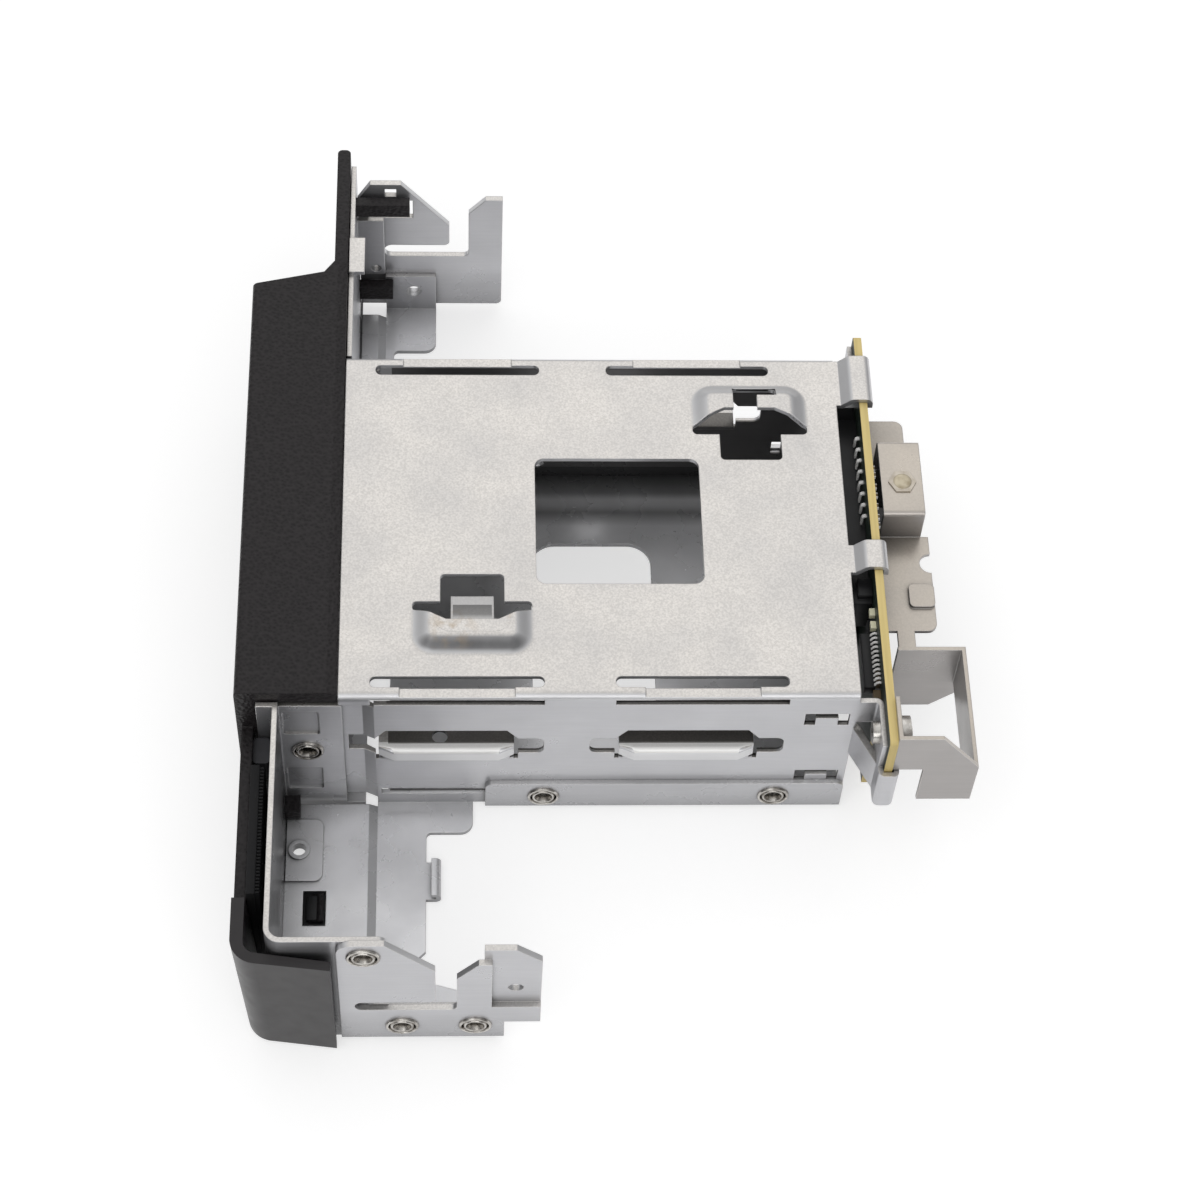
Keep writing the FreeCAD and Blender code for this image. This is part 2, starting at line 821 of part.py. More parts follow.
def wall_openings():
    """Openings that are alike in both walls."""
    openings = []
    for step in ("0", "slot_pitch"):
        left = "edge_slot_front + " + step
        right = left + " + edge_slot_length"
        openings.append(rectangle(left, right, below("wall_slot_drop"), below("sheet_gauge")))
        start = "lance_front + " + step
        end = start + " + lance_length"
        top = below("lance_top_drop")
        low = below("lance_bottom_drop")
        openings.append([
            (start, low, "lance_end_radius"),
            (start + " + lance_step", low),
            (start + " + lance_step", below("lance_foot_drop")),
            (end + " - lance_step", below("lance_foot_drop")),
            (end + " - lance_step", low),
            (end, low, "lance_end_radius"),
            (end, top, "lance_end_radius"),
            (end + " - lance_step", top),
            (end + " - lance_step - lance_slant", top + " + lance_rise"),
            (start + " + lance_step + lance_slant", top + " + lance_rise"),
            (start + " + lance_step", top),
            (start, top, "lance_end_radius"),
        ])
    right = "cage_length - tab_window_rear"
    left = right + " - tab_window_length"
    for drop in ("tab_window_drop", "low_window_drop"):
        low = below(drop + " + tab_window_height")
        openings.append([
            (left, low),
            (left + " + tab_margin", low),
            (left + " + tab_margin", low + " + tab_height"),
            (right + " - tab_margin", low + " + tab_height"),
            (right + " - tab_margin", low),
            (right, low),
            (right, below(drop)),
            (left, below(drop)),
        ])
    openings.append(rectangle("foot_slot_front", "foot_slot_front + foot_slot_length",
                              below("foot_slot_drop + foot_slot_height"), below("foot_slot_drop")))
    return openings


def make_cage_ledges():
    """Rolled ledges on both walls that carry the upper drive."""
    body = new_body("cage_ledges")
    roll = [
        ("0", below("lance_foot_drop + sheet_gauge / 2")),
        ("0", below("lance_foot_drop")),
        ("-ledge_bulge", below("lance_foot_drop - ledge_bulge")),
        ("-ledge_bulge", below("ledge_drop"), "ledge_roll"),
        ("ledge_reach", below("ledge_drop")),
        ("ledge_reach", below("ledge_drop + sheet_gauge")),
        ("sheet_gauge - ledge_bulge", below("ledge_drop + sheet_gauge")),
        ("sheet_gauge - ledge_bulge", below("lance_foot_drop - ledge_bulge + bend_inside")),
        ("sheet_gauge", below("lance_foot_drop")),
        ("sheet_gauge", below("lance_foot_drop + sheet_gauge / 2")),
    ]
    far_roll = [(mirrored(corner[0]),) + corner[1:] for corner in roll]
    tapers = []
    for step in ("0", "slot_pitch"):
        start = "lance_front + lance_step + ledge_gap + " + step
        length = "lance_length - 2 * lance_step - 2 * ledge_gap"
        pad(body, "YZ", start, length, roll, far_roll)
        for end, inward in ((start, "+"), ("%s + %s" % (start, length), "-")):
            inner = "%s %s ledge_taper" % (end, inward)
            corners = [(end, "0"), (inner, "-ledge_bulge"), (end, "-ledge_bulge")]
            tapers.append(corners)
            tapers.append(flipped(corners))
    cut(body, "XY", below("lance_foot_drop"), "lance_foot_drop", *tapers)
    cut(body, "XY", below("ledge_drop + 2 * sheet_gauge"), "3 * sheet_gauge",
        circle("ledge_hole_x", "ledge_hole_y", "ledge_hole"))
    return body


def make_cage_laps():
    """Laps ahead of the joggle, one inside each wall, with the front ends of the lanced openings."""
    body = new_body("cage_laps")
    lap = joggle("-lap_front")
    pad(body, "XY", "lap_low", below("lap_low + lap_drop"), lap, flipped(lap))
    opening = rectangle("lance_front", "joggle_rear + lance_step", below("lance_bottom_drop"),
                        below("lance_top_drop"))
    for face, hole in zip(WALL_FACES, ("eyelet_sleeve", "eyelet_bore")):
        cut(body, "XZ", face, "4 * sheet_gauge", opening, *circles(TAB_EYELETS, hole))
    return body


def make_cage_wings():
    """Floor wings on both sides, with joggled front floors and upturned ends."""
    body = new_body("cage_wings")
    wing = [
        ("joggle_rear", "sheet_gauge"),
        ("wing_rear", "sheet_gauge"),
        ("wing_rear", "-wing_heel", "wing_heel_corner"),
        ("wing_neck", "-wing_heel", "wing_corner"),
        ("wing_neck", "-wing_step + wing_step_cut"),
        ("wing_neck - wing_step_cut", "-wing_step"),
        ("wing_neck - wing_step_cut", "-wing_throat"),
        ("wing_toe_rear", "-wing_toe"),
        ("wing_toe_rear", NEAR_END),
        ("joggle_rear", NEAR_END),
    ]
    far_wing = [
        ("joggle_rear", "cage_width - sheet_gauge"),
        ("far_wing_strip", "cage_width - sheet_gauge"),
        ("far_wing_strip", "cage_width + far_wing_turn", "wing_corner"),
        ("far_wing_rear", "cage_width + far_wing_turn", "wing_heel_corner"),
        ("far_wing_rear", FAR_END),
        ("joggle_rear", FAR_END),
    ]
    pad(body, "XY", "0", "sheet_gauge", wing, far_wing)
    pad(body, "XZ", "-wing_reach", "wing_reach - wing_slit", joggle("-frame_front + sheet_gauge"))
    pad(body, "XZ", "cage_width + wing_slit", "far_wing_reach - bend_slot - wing_slit",
        joggle("far_wing_front"))
    pad(body, "XZ", NEAR_END, "sheet_gauge",
        rectangle("joggle_rear", "wing_toe_rear", "0", "wing_flange_height"),
        *circles(NEAR_LOW_EYELETS, "eyelet_sleeve"))
    pad(body, "XZ", FAR_END + " - sheet_gauge", "sheet_gauge",
        rectangle("joggle_rear", "far_wing_rear", "0", "wing_flange_height"),
        *circles(FAR_HOLES, "far_hole"))
    # Feet of the walls, where they bend out into the wings
    pad(body, "XZ", "0", "sheet_gauge", rectangle("joggle_rear", "wing_rear", "0", "2 * sheet_gauge"))
    pad(body, "XZ", "cage_width - sheet_gauge", "sheet_gauge",
        rectangle("joggle_rear", "far_wing_strip", "0", "2 * sheet_gauge"))
    # Rolled hook on the edge of the near wing
    roll_rear = "wing_neck + hook_roll"
    pad(body, "XZ", "-hook_roll_start", "hook_roll_width", [
        ("wing_neck - sheet_gauge", "0"),
        (roll_rear, "0", "hook_roll_round"),
        (roll_rear, "hook_roll", "hook_roll_round"),
        ("wing_neck + sheet_gauge", "hook_roll"),
        ("wing_neck + sheet_gauge", "hook_roll - sheet_gauge"),
        (roll_rear + " - sheet_gauge", "hook_roll - sheet_gauge"),
        (roll_rear + " - sheet_gauge", "sheet_gauge"),
        ("wing_neck - sheet_gauge", "sheet_gauge"),
    ])
    # Raised pad with a drawn hole, the snap hole and the corner inside the frame's bend, in the near floor
    pad_front = "-frame_front + sheet_gauge"
    pad(body, "XY", "sheet_gauge", "sheet_gauge + pad_rise", [
        (pad_front, "-pad_near"),
        ("-pad_rear", "-pad_near", "pad_corner"),
        ("-pad_rear", "-pad_far", "pad_corner"),
        (pad_front, "-pad_far"),
    ])
    pad(body, "XY", "sheet_gauge", "sheet_gauge + pad_rise + pad_collar_rise",
        circle("-pad_hole_x", "-pad_hole_y", "pad_collar"))
    cut(body, "XY", "0", "4 * sheet_gauge + pad_rise",
        circle("-pad_hole_x", "-pad_hole_y", "pad_hole"),
        rectangle("-snap_hole_rear - snap_hole_length", "-snap_hole_rear", "-snap_hole_near",
                  "-snap_hole_near + snap_hole_width"),
        [
            (pad_front, "-wing_reach"),
            (pad_front + " + frame_bend", "-wing_reach"),
            (pad_front, "-wing_reach + frame_bend"),
        ])
    return body


def make_cage_rear():
    """Clips over the board's top edge, flanges in front of its ears and the curl round its near edge."""
    body = new_body("cage_rear")
    clip_under = below("-board_rise - clip_grip")
    clip = [
        ("cage_length - sheet_gauge", below("sheet_gauge")),
        ("cage_length + clip_ramp_start", below("sheet_gauge")),
        (BOARD_FRONT + " - sheet_gauge", clip_under, "clip_round"),
        (BOARD_REAR + " + clip_grip", clip_under, "bend_inside"),
        (BOARD_REAR + " + clip_grip", clip_under + " - clip_hook"),
        (BOARD_REAR + " + clip_grip + sheet_gauge", clip_under + " - clip_hook"),
        (BOARD_REAR + " + clip_grip + sheet_gauge", clip_under + " + sheet_gauge", "clip_round"),
        (BOARD_FRONT + " - sheet_gauge - bend_inside", clip_under + " + sheet_gauge", "clip_round"),
        ("cage_length + clip_ramp_start - bend_inside", "cage_height"),
        ("cage_length - sheet_gauge", "cage_height"),
    ]
    pad(body, "XZ", "clip_far_start", "clip_far_width", clip)
    pad(body, "XZ", "clip_mid_start", "clip_mid_width", clip)
    near_flange = [
        ("cage_length - sheet_gauge", "0"),
        ("cage_length - sheet_gauge", "sheet_gauge"),
        (BOARD_FRONT, "sheet_gauge", "bend_outside"),
        (BOARD_FRONT, "-flange_reach"),
        (BOARD_FRONT + " - sheet_gauge", "-flange_reach"),
        (BOARD_FRONT + " - sheet_gauge", "0", "bend_inside"),
    ]
    far_flange = [
        ("cage_length - sheet_gauge", "cage_width"),
        ("cage_length - sheet_gauge", "cage_width - sheet_gauge"),
        (BOARD_FRONT, "cage_width - sheet_gauge", "bend_outside"),
        (BOARD_FRONT, "cage_width + far_flange_reach"),
        (BOARD_FRONT + " - sheet_gauge", "cage_width + far_flange_reach"),
        (BOARD_FRONT + " - sheet_gauge", "cage_width", "bend_inside"),
    ]
    pad(body, "XY", below("flange_drop + flange_height"), "flange_height", near_flange, far_flange)
    # Opening under the near flange's bend, and the leg that slants from the wall to the curl
    cut(body, "XZ", "-bend_outside", "bend_outside + 2 * sheet_gauge",
        rectangle("cage_length - 2 * sheet_gauge", BOARD_FRONT + " + cut_overrun",
                  below("flange_drop + flange_height + cut_overrun"), below("flange_slit_drop")))
    leg_foot = below("curl_top_drop + curl_height")
    pad(body, "XY", leg_foot, "curl_top_drop + curl_height - leg_top_drop", [
        ("cage_length - sheet_gauge", "0"),
        ("cage_length - leg_outset / 2", "0"),
        (BOARD_FRONT + " - sheet_gauge", "-leg_end + leg_outset"),
        (BOARD_FRONT + " - sheet_gauge", "-leg_end"),
        (BOARD_FRONT, "-leg_end"),
        (BOARD_FRONT, "-leg_end + 2 * leg_outset"),
        ("cage_length + leg_outset", "sheet_gauge"),
        ("cage_length - sheet_gauge", "sheet_gauge"),
    ])
    curl_left = BOARD_FRONT + " - sheet_gauge"
    curl_right = BOARD_REAR + " + curl_gap + sheet_gauge"
    curl = [
        (curl_left, "-flange_reach + sheet_gauge"),
        (curl_left, CURL_FRONT, "curl_round"),
        (curl_right, CURL_FRONT, "curl_round"),
        (curl_right, CURL_FRONT + " + curl_return"),
        (curl_right + " - sheet_gauge", CURL_FRONT + " + curl_return"),
        (curl_right + " - sheet_gauge", CURL_FRONT + " + sheet_gauge"),
        (BOARD_FRONT, CURL_FRONT + " + sheet_gauge"),
        (BOARD_FRONT, "-flange_reach + sheet_gauge"),
    ]
    pad(body, "XY", leg_foot, "curl_height", curl)
    cut(body, "YZ", BOARD_FRONT + " - 2 * sheet_gauge", "3 * sheet_gauge",
        circle("-screw_y", below("screw_drop"), "screw_thread + screw_clearance"))
    return body


# Places of eyelets and holes in the plane of the walls
TRAY_EYELETS = [
    ("tray_eyelet_front", below("tray_eyelet_drop")),
    ("tray_eyelet_front + tray_eyelet_pitch", below("tray_eyelet_drop")),
]
TAB_EYELETS = [("-tab_eyelet_x", below("tab_eyelet_drop"))]
NEAR_HIGH_EYELETS = [("near_eyelet_high_x", below("near_eyelet_high_drop"))]
NEAR_LOW_EYELETS = [
    ("near_eyelet_low_x", below("near_eyelet_low_drop")),
    ("near_eyelet_low_x + near_eyelet_low_pitch", below("near_eyelet_low_drop")),
]
FAR_HOLES = [("far_hole_x", below("far_hole_drop"))]
FAR_SMALL_HOLES = [("far_small_hole_x", below("far_small_hole_drop"))]


def circles(places, diameter):
    return [circle(across, up, diameter) for across, up in places]


def make_bottom_tray():
    body = new_piece("bottom_tray")
    inner = "sheet_gauge + tray_clearance"
    floor = [
        ("tray_front", inner, "frame_corner"),
        ("tray_flange_front", inner),
        ("tray_flange_front", "-sheet_gauge"),
        ("cage_length", "-sheet_gauge"),
        ("cage_length", "cage_width + sheet_gauge"),
        ("tray_flange_front", "cage_width + sheet_gauge"),
        ("tray_flange_front", mirrored(inner)),
        ("tray_front", mirrored(inner), "frame_corner"),
    ]
    opening = rectangle("tray_opening_front", "tray_opening_rear", "tray_opening_margin",
                        mirrored("tray_opening_margin"), "tray_opening_corner")
    pad(body, "XY", "0", "sheet_gauge", floor, opening)
    flange = [
        ("tray_flange_front", "0"),
        ("cage_length", "0"),
        ("cage_length", "tray_flange_height", "frame_corner"),
        ("tray_flange_front", "tray_flange_height", "frame_corner"),
    ]
    pad(body, "XZ", "-sheet_gauge", "sheet_gauge", flange, *circles(TRAY_EYELETS, "eyelet_sleeve"))
    pad(body, "XZ", "cage_width", "sheet_gauge", flange, *circles(TRAY_EYELETS, "eyelet_bore"))
    outside = [size_of("-sheet_gauge"), size_of("cage_width + sheet_gauge")]
    round_edges(body, "bend_outside", lambda box: near_to(box.ZMax, 0) and box.XLength > box.YLength
                and any(near_to(box.YMin, face) for face in outside))


def make_front_frame():
    body = new_piece("front_frame")
    front = "-frame_front"
    back = "-frame_front + sheet_gauge"
    # Front wall, with a gap at its foot for the snap arm and a window for the snap clip
    arm_near = "-snap_hole_near - arm_clearance"
    arm_far = "-snap_hole_near + snap_hole_width + arm_clearance"
    pad(body, "YZ", front, "sheet_gauge", [
        (NEAR_END, "0"),
        (arm_near, "0"),
        (arm_near, "sheet_gauge + arm_clearance"),
        (arm_far, "sheet_gauge + arm_clearance"),
        (arm_far, "0"),
        ("sheet_gauge", "0"),
        ("sheet_gauge", below("frame_tab_drop")),
        ("0", below("frame_drop")),
        (NEAR_END, below("frame_drop")),
    ], rectangle("-snap_clip_near - arm_clearance", "-snap_clip_near + snap_clip_width + arm_clearance",
                 "snap_clip_low - arm_clearance", "snap_clip_low + snap_clip_height + arm_clearance"))
    # Floor strip under the cage's laps, narrowed at the bend of the far wing
    strip_turn = "cage_width + far_wing_reach - bend_slot"
    pad(body, "XY", "0", "sheet_gauge", [
        (front, "0"),
        ("frame_floor_rear", "0"),
        ("frame_floor_rear", strip_turn),
        ("far_wing_front", strip_turn),
        ("far_wing_front", "cage_width + far_wall_end"),
        ("0", "cage_width + far_wall_end"),
        ("0", "cage_width"),
        (front, "cage_width"),
    ])
    # Wall tabs outside the cage's laps
    tab = rectangle("-frame_tab_front", "frame_tab_rear", "0", below("frame_tab_drop"))
    pad(body, "XZ", "0", "sheet_gauge", tab, *circles(TAB_EYELETS, "eyelet_sleeve"))
    pad(body, "XZ", "cage_width - sheet_gauge", "sheet_gauge", tab, *circles(TAB_EYELETS, "eyelet_bore"))
    for drop in ("emboss_high_drop", "emboss_low_drop"):
        cut(body, "XZ", "0", "emboss_depth",
            rectangle("-emboss_front", "-emboss_front + emboss_length", below(drop + " + emboss_height"),
                      below(drop), "bend_inside"))
    # Lip turned forward from the front wall
    pad(body, "XZ", "-sheet_gauge", "sheet_gauge",
        rectangle(front + " - frame_lip_reach", back, "frame_lip_low", below("frame_drop")))
    # Near flange behind the hook bracket
    pad(body, "XZ", NEAR_END, "sheet_gauge", [
        (front, "0"),
        ("near_flange_foot", "0"),
        ("near_flange_foot", "near_flange_low"),
        ("near_flange_rear", "near_flange_low"),
        ("near_flange_rear", below("frame_drop"), "frame_corner"),
        (front, below("frame_drop")),
    ], *circles(NEAR_HIGH_EYELETS, "eyelet_sleeve"))
    bends = (((front, NEAR_END), "frame_bend"), ((back, "-wing_reach"), "frame_bend - sheet_gauge"))
    for (across, along), radius in bends:
        round_edges(body, radius, lambda box: near_to(box.Center.x, size_of(across))
                    and near_to(box.Center.y, size_of(along)) and box.ZLength > size_of("near_flange_low"))
    # Far front wall with windows for the snap arms, a top tab and an end flange
    far_start = "cage_width + sheet_gauge"
    far_end = "cage_width + far_wall_end"
    windows = []
    for drop, height in FAR_ARMS:
        arm_far = "far_arm_near + far_arm_width"
        windows.append(rectangle("far_arm_near - arm_clearance", arm_far + " + arm_clearance",
                                 below("%s + %s + arm_clearance" % (drop, height)),
                                 below(drop + " - arm_clearance")))
    pad(body, "YZ", "0", "sheet_gauge", [
        (far_start, "0"),
        (far_end, "0"),
        (far_end, below("far_wall_drop")),
        (far_start, below("far_wall_drop")),
    ], *windows)
    tab_near = "cage_width + far_tab_start"
    pad(body, "XY", below("far_wall_drop"), "sheet_gauge",
        rectangle("0", "far_tab_depth", tab_near, tab_near + " + far_tab_width"))
    pad(body, "XZ", FAR_END + " - sheet_gauge", "sheet_gauge",
        rectangle("0", "far_flange_depth", "far_flange_low", "far_flange_low + far_flange_high"),
        *circles(FAR_SMALL_HOLES, "far_small_hole"))


# Snap arms on the far plate of the bezel: the drop to their upper side and their height
FAR_ARMS = [("far_arm_high_drop", "far_arm_high_height"), ("far_arm_low_drop", "far_arm_low_height")]


def make_near_hook_bracket():
    body = new_piece("near_hook_bracket")
    slot_low = "near_slot_drop + hook_slot_width"
    outline = [
        ("near_hook_front", below("near_hook_low")),
        ("near_hook_front", below("near_hook_top"), "hook_slot_width"),
        ("near_hook_top_rear", below("near_hook_top")),
        ("near_hook_tooth", below("near_hook_tooth_drop")),
        ("near_hook_tooth", below("near_slot_drop"), "hook_corner"),
        ("near_slot_end", below("near_slot_drop"), "hook_slot_width / 2.1"),
        ("near_slot_end", below(slot_low), "hook_slot_width / 2.1"),
        ("near_post_front", below(slot_low), "hook_corner"),
        ("near_post_front", below("near_post_neck_drop")),
        ("near_post_shoulder", below("near_post_drop")),
        ("near_lap_rear", below("near_post_drop")),
        ("near_lap_rear", below("near_ledge_drop")),
        ("near_tab_rear", below("near_ledge_drop")),
        ("near_tab_rear", below("near_tab_low")),
        ("near_hook_rear", below("near_tab_low")),
        ("near_hook_rear", below("near_hook_low")),
    ]
    eyelets = circles(NEAR_HIGH_EYELETS + NEAR_LOW_EYELETS, "eyelet_sleeve")
    pad(body, "XZ", NEAR_END + " - hook_gauge", "hook_gauge", outline, *eyelets)
    # Tab set back by one gauge behind the lap, down to the ledge
    tab_foot = below("near_ledge_drop + hook_gauge")
    tab = [
        ("near_lap", tab_foot),
        ("near_lap", below("near_tab_drop")),
        ("near_tab_rear - near_tab_chamfer", below("near_tab_drop")),
        ("near_tab_rear", below("near_tab_drop + near_tab_chamfer")),
        ("near_tab_rear", tab_foot),
    ]
    pad(body, "XZ", NEAR_END, "hook_gauge", tab,
        circle("near_tab_hole_x", below("near_tab_hole_drop"), "near_tab_hole"))


def make_far_hook_bracket():
    body = new_piece("far_hook_bracket")
    slot_low = "far_slot_drop + far_slot_width"
    outline = [
        ("far_hook_front", below("far_hook_low")),
        ("far_hook_front", below("far_snap_drop")),
        ("far_hook_top_front", below("far_hook_top")),
        ("far_hook_top_rear", below("far_hook_top")),
        ("far_hook_tooth", below("far_hook_tooth_drop")),
        ("far_hook_tooth", below("far_slot_drop"), "hook_corner"),
        ("far_slot_end", below("far_slot_drop"), "far_slot_width / 2.1"),
        ("far_slot_end", below(slot_low), "far_slot_width / 2.1"),
        ("far_post_front", below(slot_low), "hook_corner"),
        ("far_post_front", below("far_post_neck_drop")),
        ("far_post_shoulder", below("far_post_drop")),
        ("far_hook_rear", below("far_post_drop")),
        ("far_hook_rear", below("far_hook_low"), "hook_corner"),
    ]
    square = rectangle("far_square_front", "far_square_front + far_square_hole",
                       below("far_square_drop + far_square_hole"), below("far_square_drop"))
    snap = rectangle("far_snap_front", "far_snap_rear", below("far_snap_drop + far_snap_height"),
                     below("far_snap_drop"))
    low_snap = rectangle("far_snap_front", "far_low_snap_rear",
                         below("far_low_snap_drop + far_low_snap_height"), below("far_low_snap_drop"))
    pad(body, "XZ", FAR_END, "hook_gauge", outline, square, snap, low_snap, *circles(FAR_HOLES, "far_hole"),
        *circles(FAR_SMALL_HOLES, "far_small_hole"))


def make_joint_eyelets():
    body = new_piece("joint_eyelets")
    # Each set: places, the outer face under the rim and how much sheet the sleeve passes through
    sets = [
        (TRAY_EYELETS, "-sheet_gauge", "2 * sheet_gauge"),
        (TAB_EYELETS, "0", "2 * sheet_gauge"),
        (NEAR_HIGH_EYELETS + NEAR_LOW_EYELETS, NEAR_END + " - hook_gauge", "sheet_gauge + hook_gauge"),
    ]
    for places, face, grip in sets:
        bores = circles(places, "eyelet_bore")
        pad(body, "XZ", face, grip, *circles(places, "eyelet_sleeve"), *bores)
        pad(body, "XZ", face + " - eyelet_rim_height", "eyelet_rim_height",
            *circles(places, "eyelet_rim"), *bores)


def make_front_bezel():
    body = new_piece("front_bezel")
    back = "-bezel_gap"
    top = below("-bezel_rise")
    section = [
        ("-bezel_front", "bezel_low"),
        ("-bezel_front", top, "bezel_edge"),
        (back + " - bezel_chamfer", top),
        (back, top + " - bezel_chamfer_fall"),
        (back, "bezel_low"),
    ]
    pad(body, "XZ", "bezel_near", "bezel_plate_start - bezel_near", section)
    # Slanted far end
    cut(body, "XY", "0", "2 * cage_height", [
        ("-bezel_front - cut_overrun", "bezel_plate_start + cut_overrun"),
        ("-bezel_front - cut_overrun", "bezel_slant_start"),
        ("-bezel_front + bezel_slant_depth", "bezel_slant_end"),
        (back + " - bezel_plate", "bezel_plate_start"),
        (back + " - bezel_plate", "bezel_plate_start + cut_overrun"),
    ])
    # Thin far plate
    pad(body, "XY", "bezel_low", below("bezel_low + bezel_plate_drop"),
        [
            (back + " - bezel_plate", "bezel_slant_start - bezel_wall"),
            (back, "bezel_slant_start - bezel_wall"),
            (back, "bezel_plate_end", "bezel_plate_corner"),
            (back + " - bezel_plate", "bezel_plate_end", "bezel_plate_corner"),
        ])
    # Drive mouth, room for the wall tabs and laps, and the hollow behind the far end
    cut(body, "YZ", "-bezel_front - cut_overrun", "bezel_front + cut_overrun",
        rectangle("bay_near", mirrored("bay_near"), "bay_low", below("bay_drop"), "bay_corner"))
    outer_room = "eyelet_rim_height + bezel_gap"
    side_room = "2 * sheet_gauge + " + outer_room
    cut(body, "YZ", "-frame_front - bezel_gap", "frame_front + bezel_gap",
        rectangle("-cut_overrun", side_room, "0", below("bay_drop")),
        rectangle(mirrored(side_room), "cage_width + " + outer_room, "0", below("bay_drop")))
    cut(body, "YZ", "-bezel_front + bezel_wall", "bezel_front",
        rectangle("cage_width + bezel_wall + " + outer_room, "bezel_slant_start - bezel_wall", "bay_low",
                  below("bay_drop"), "bay_corner"))
    # Lower front wall beside the near compartment
    low_front = "-bezel_front + bezel_inset"
    low_back = low_front + " + bezel_wall"
    pad(body, "XY", "bezel_low", below("bezel_low + bezel_low_drop"),
        rectangle(low_front, low_back, "-bezel_low_end", "bay_near"))
    # Snap arm under the near floor, with a wedge in the snap hole
    arm_top = "arm_low + arm_thickness"
    wedge_rear = "-snap_hole_rear - arm_clearance"
    wedge_front = "-snap_hole_rear - snap_hole_length + arm_clearance"
    pad(body, "XZ", "-snap_hole_near + (snap_hole_width - arm_width) / 2", "arm_width", [
        (low_front, "arm_low"),
        (wedge_rear, "arm_low"),
        (wedge_rear, "2 * sheet_gauge + wedge_rise"),
        (wedge_rear + " - arm_thickness", "2 * sheet_gauge + wedge_rise"),
        (wedge_front, arm_top),
        (low_back, arm_top),
        (low_back, "bay_low"),
        (low_front, "bay_low"),
    ])
    # Snap clip through the front wall
    pad(body, "XZ", "-snap_clip_near", "snap_clip_width",
        rectangle(low_front, "-snap_clip_rear", "snap_clip_low", "snap_clip_low + snap_clip_height"))
    # Snap arms through the far front wall
    for drop, height, rear in (("far_arm_high_drop", "far_arm_high_height", "far_arm_high_rear"),
                               ("far_arm_low_drop", "far_arm_low_height", "far_arm_low_rear")):
        pad(body, "XZ", "far_arm_near", "far_arm_width",
            rectangle(back + " - sheet_gauge", rear, below("%s + %s" % (drop, height)), below(drop)))


def make_bezel_end_cap():
    body = new_piece("bezel_end_cap")

    def plan(front_draft, side_draft):
        """Plan of the corner wall, drawn in at its front and near sides."""
        outer = "-bezel_front + bezel_inset + " + front_draft
        inner = outer + " + cap_wall"
        seam = "-bezel_low_end - cap_seam"
        return [
            (outer, seam),
            (outer, "-cap_corner_y + " + side_draft, "cap_round"),
            ("-cap_rear", "-cap_end_y + " + side_draft),
            ("-cap_rear", "-cap_end_y + cap_side_wall"),
            (inner, "-cap_corner_y + cap_side_wall", "cap_round / 2"),
            (inner, seam),
        ]

    loft(body, "Additive", draw(body, "XY", "cap_low", [plan("cap_draft", "cap_side_draft")]),
         draw(body, "XY", below("cap_drop"), [plan("0", "0")]))


def make_bezel_latch():
    body = new_piece("bezel_latch")
    front = "-bezel_front + bezel_inset + bezel_wall"
    pad(body, "XY", below("latch_drop + latch_height"), "latch_height",
        rectangle(front, "-latch_rear", "-latch_width - sheet_gauge - bezel_gap", "-sheet_gauge - bezel_gap",
                  "latch_corner"))


def make_gasket_strip():
    body = new_piece("gasket_strip")
    front = "-bezel_front + bezel_inset + bezel_wall"
    height = below("gasket_drop + gasket_low")
    pad(body, "XY", "gasket_low", height,
        rectangle(front, front + " + gasket_back", "-gasket_end", "-gasket_start"))
    ribs_front = front + " + gasket_back"
    rib = pad(body, "XY", "gasket_low", height,
              rectangle(ribs_front, ribs_front + " + gasket_rib_depth", "-gasket_end",
                        "-gasket_end + gasket_rib"))
    repeat(body, rib, "Y_Axis", "gasket_pitch", "round((gasket_end - gasket_start) / gasket_pitch)")


def make_backplane_board():
    body = new_piece("backplane_board")
    ear_low = below("board_ear_drop")
    top = below("-board_rise")
    outline = [
        ("-board_near", ear_low),
        ("board_ear", ear_low),
        ("board_ear", "board_low"),
        (mirrored("board_ear"), "board_low"),
        (mirrored("board_ear"), ear_low),
        ("board_far", ear_low),
        ("board_far", top, "board_corner"),
        ("-board_near", top, "board_corner"),
    ]
    hole = "screw_thread + screw_clearance"
    pad(body, "YZ", BOARD_FRONT, "board_gauge", outline,
        circle("-screw_y", below("screw_drop"), hole))


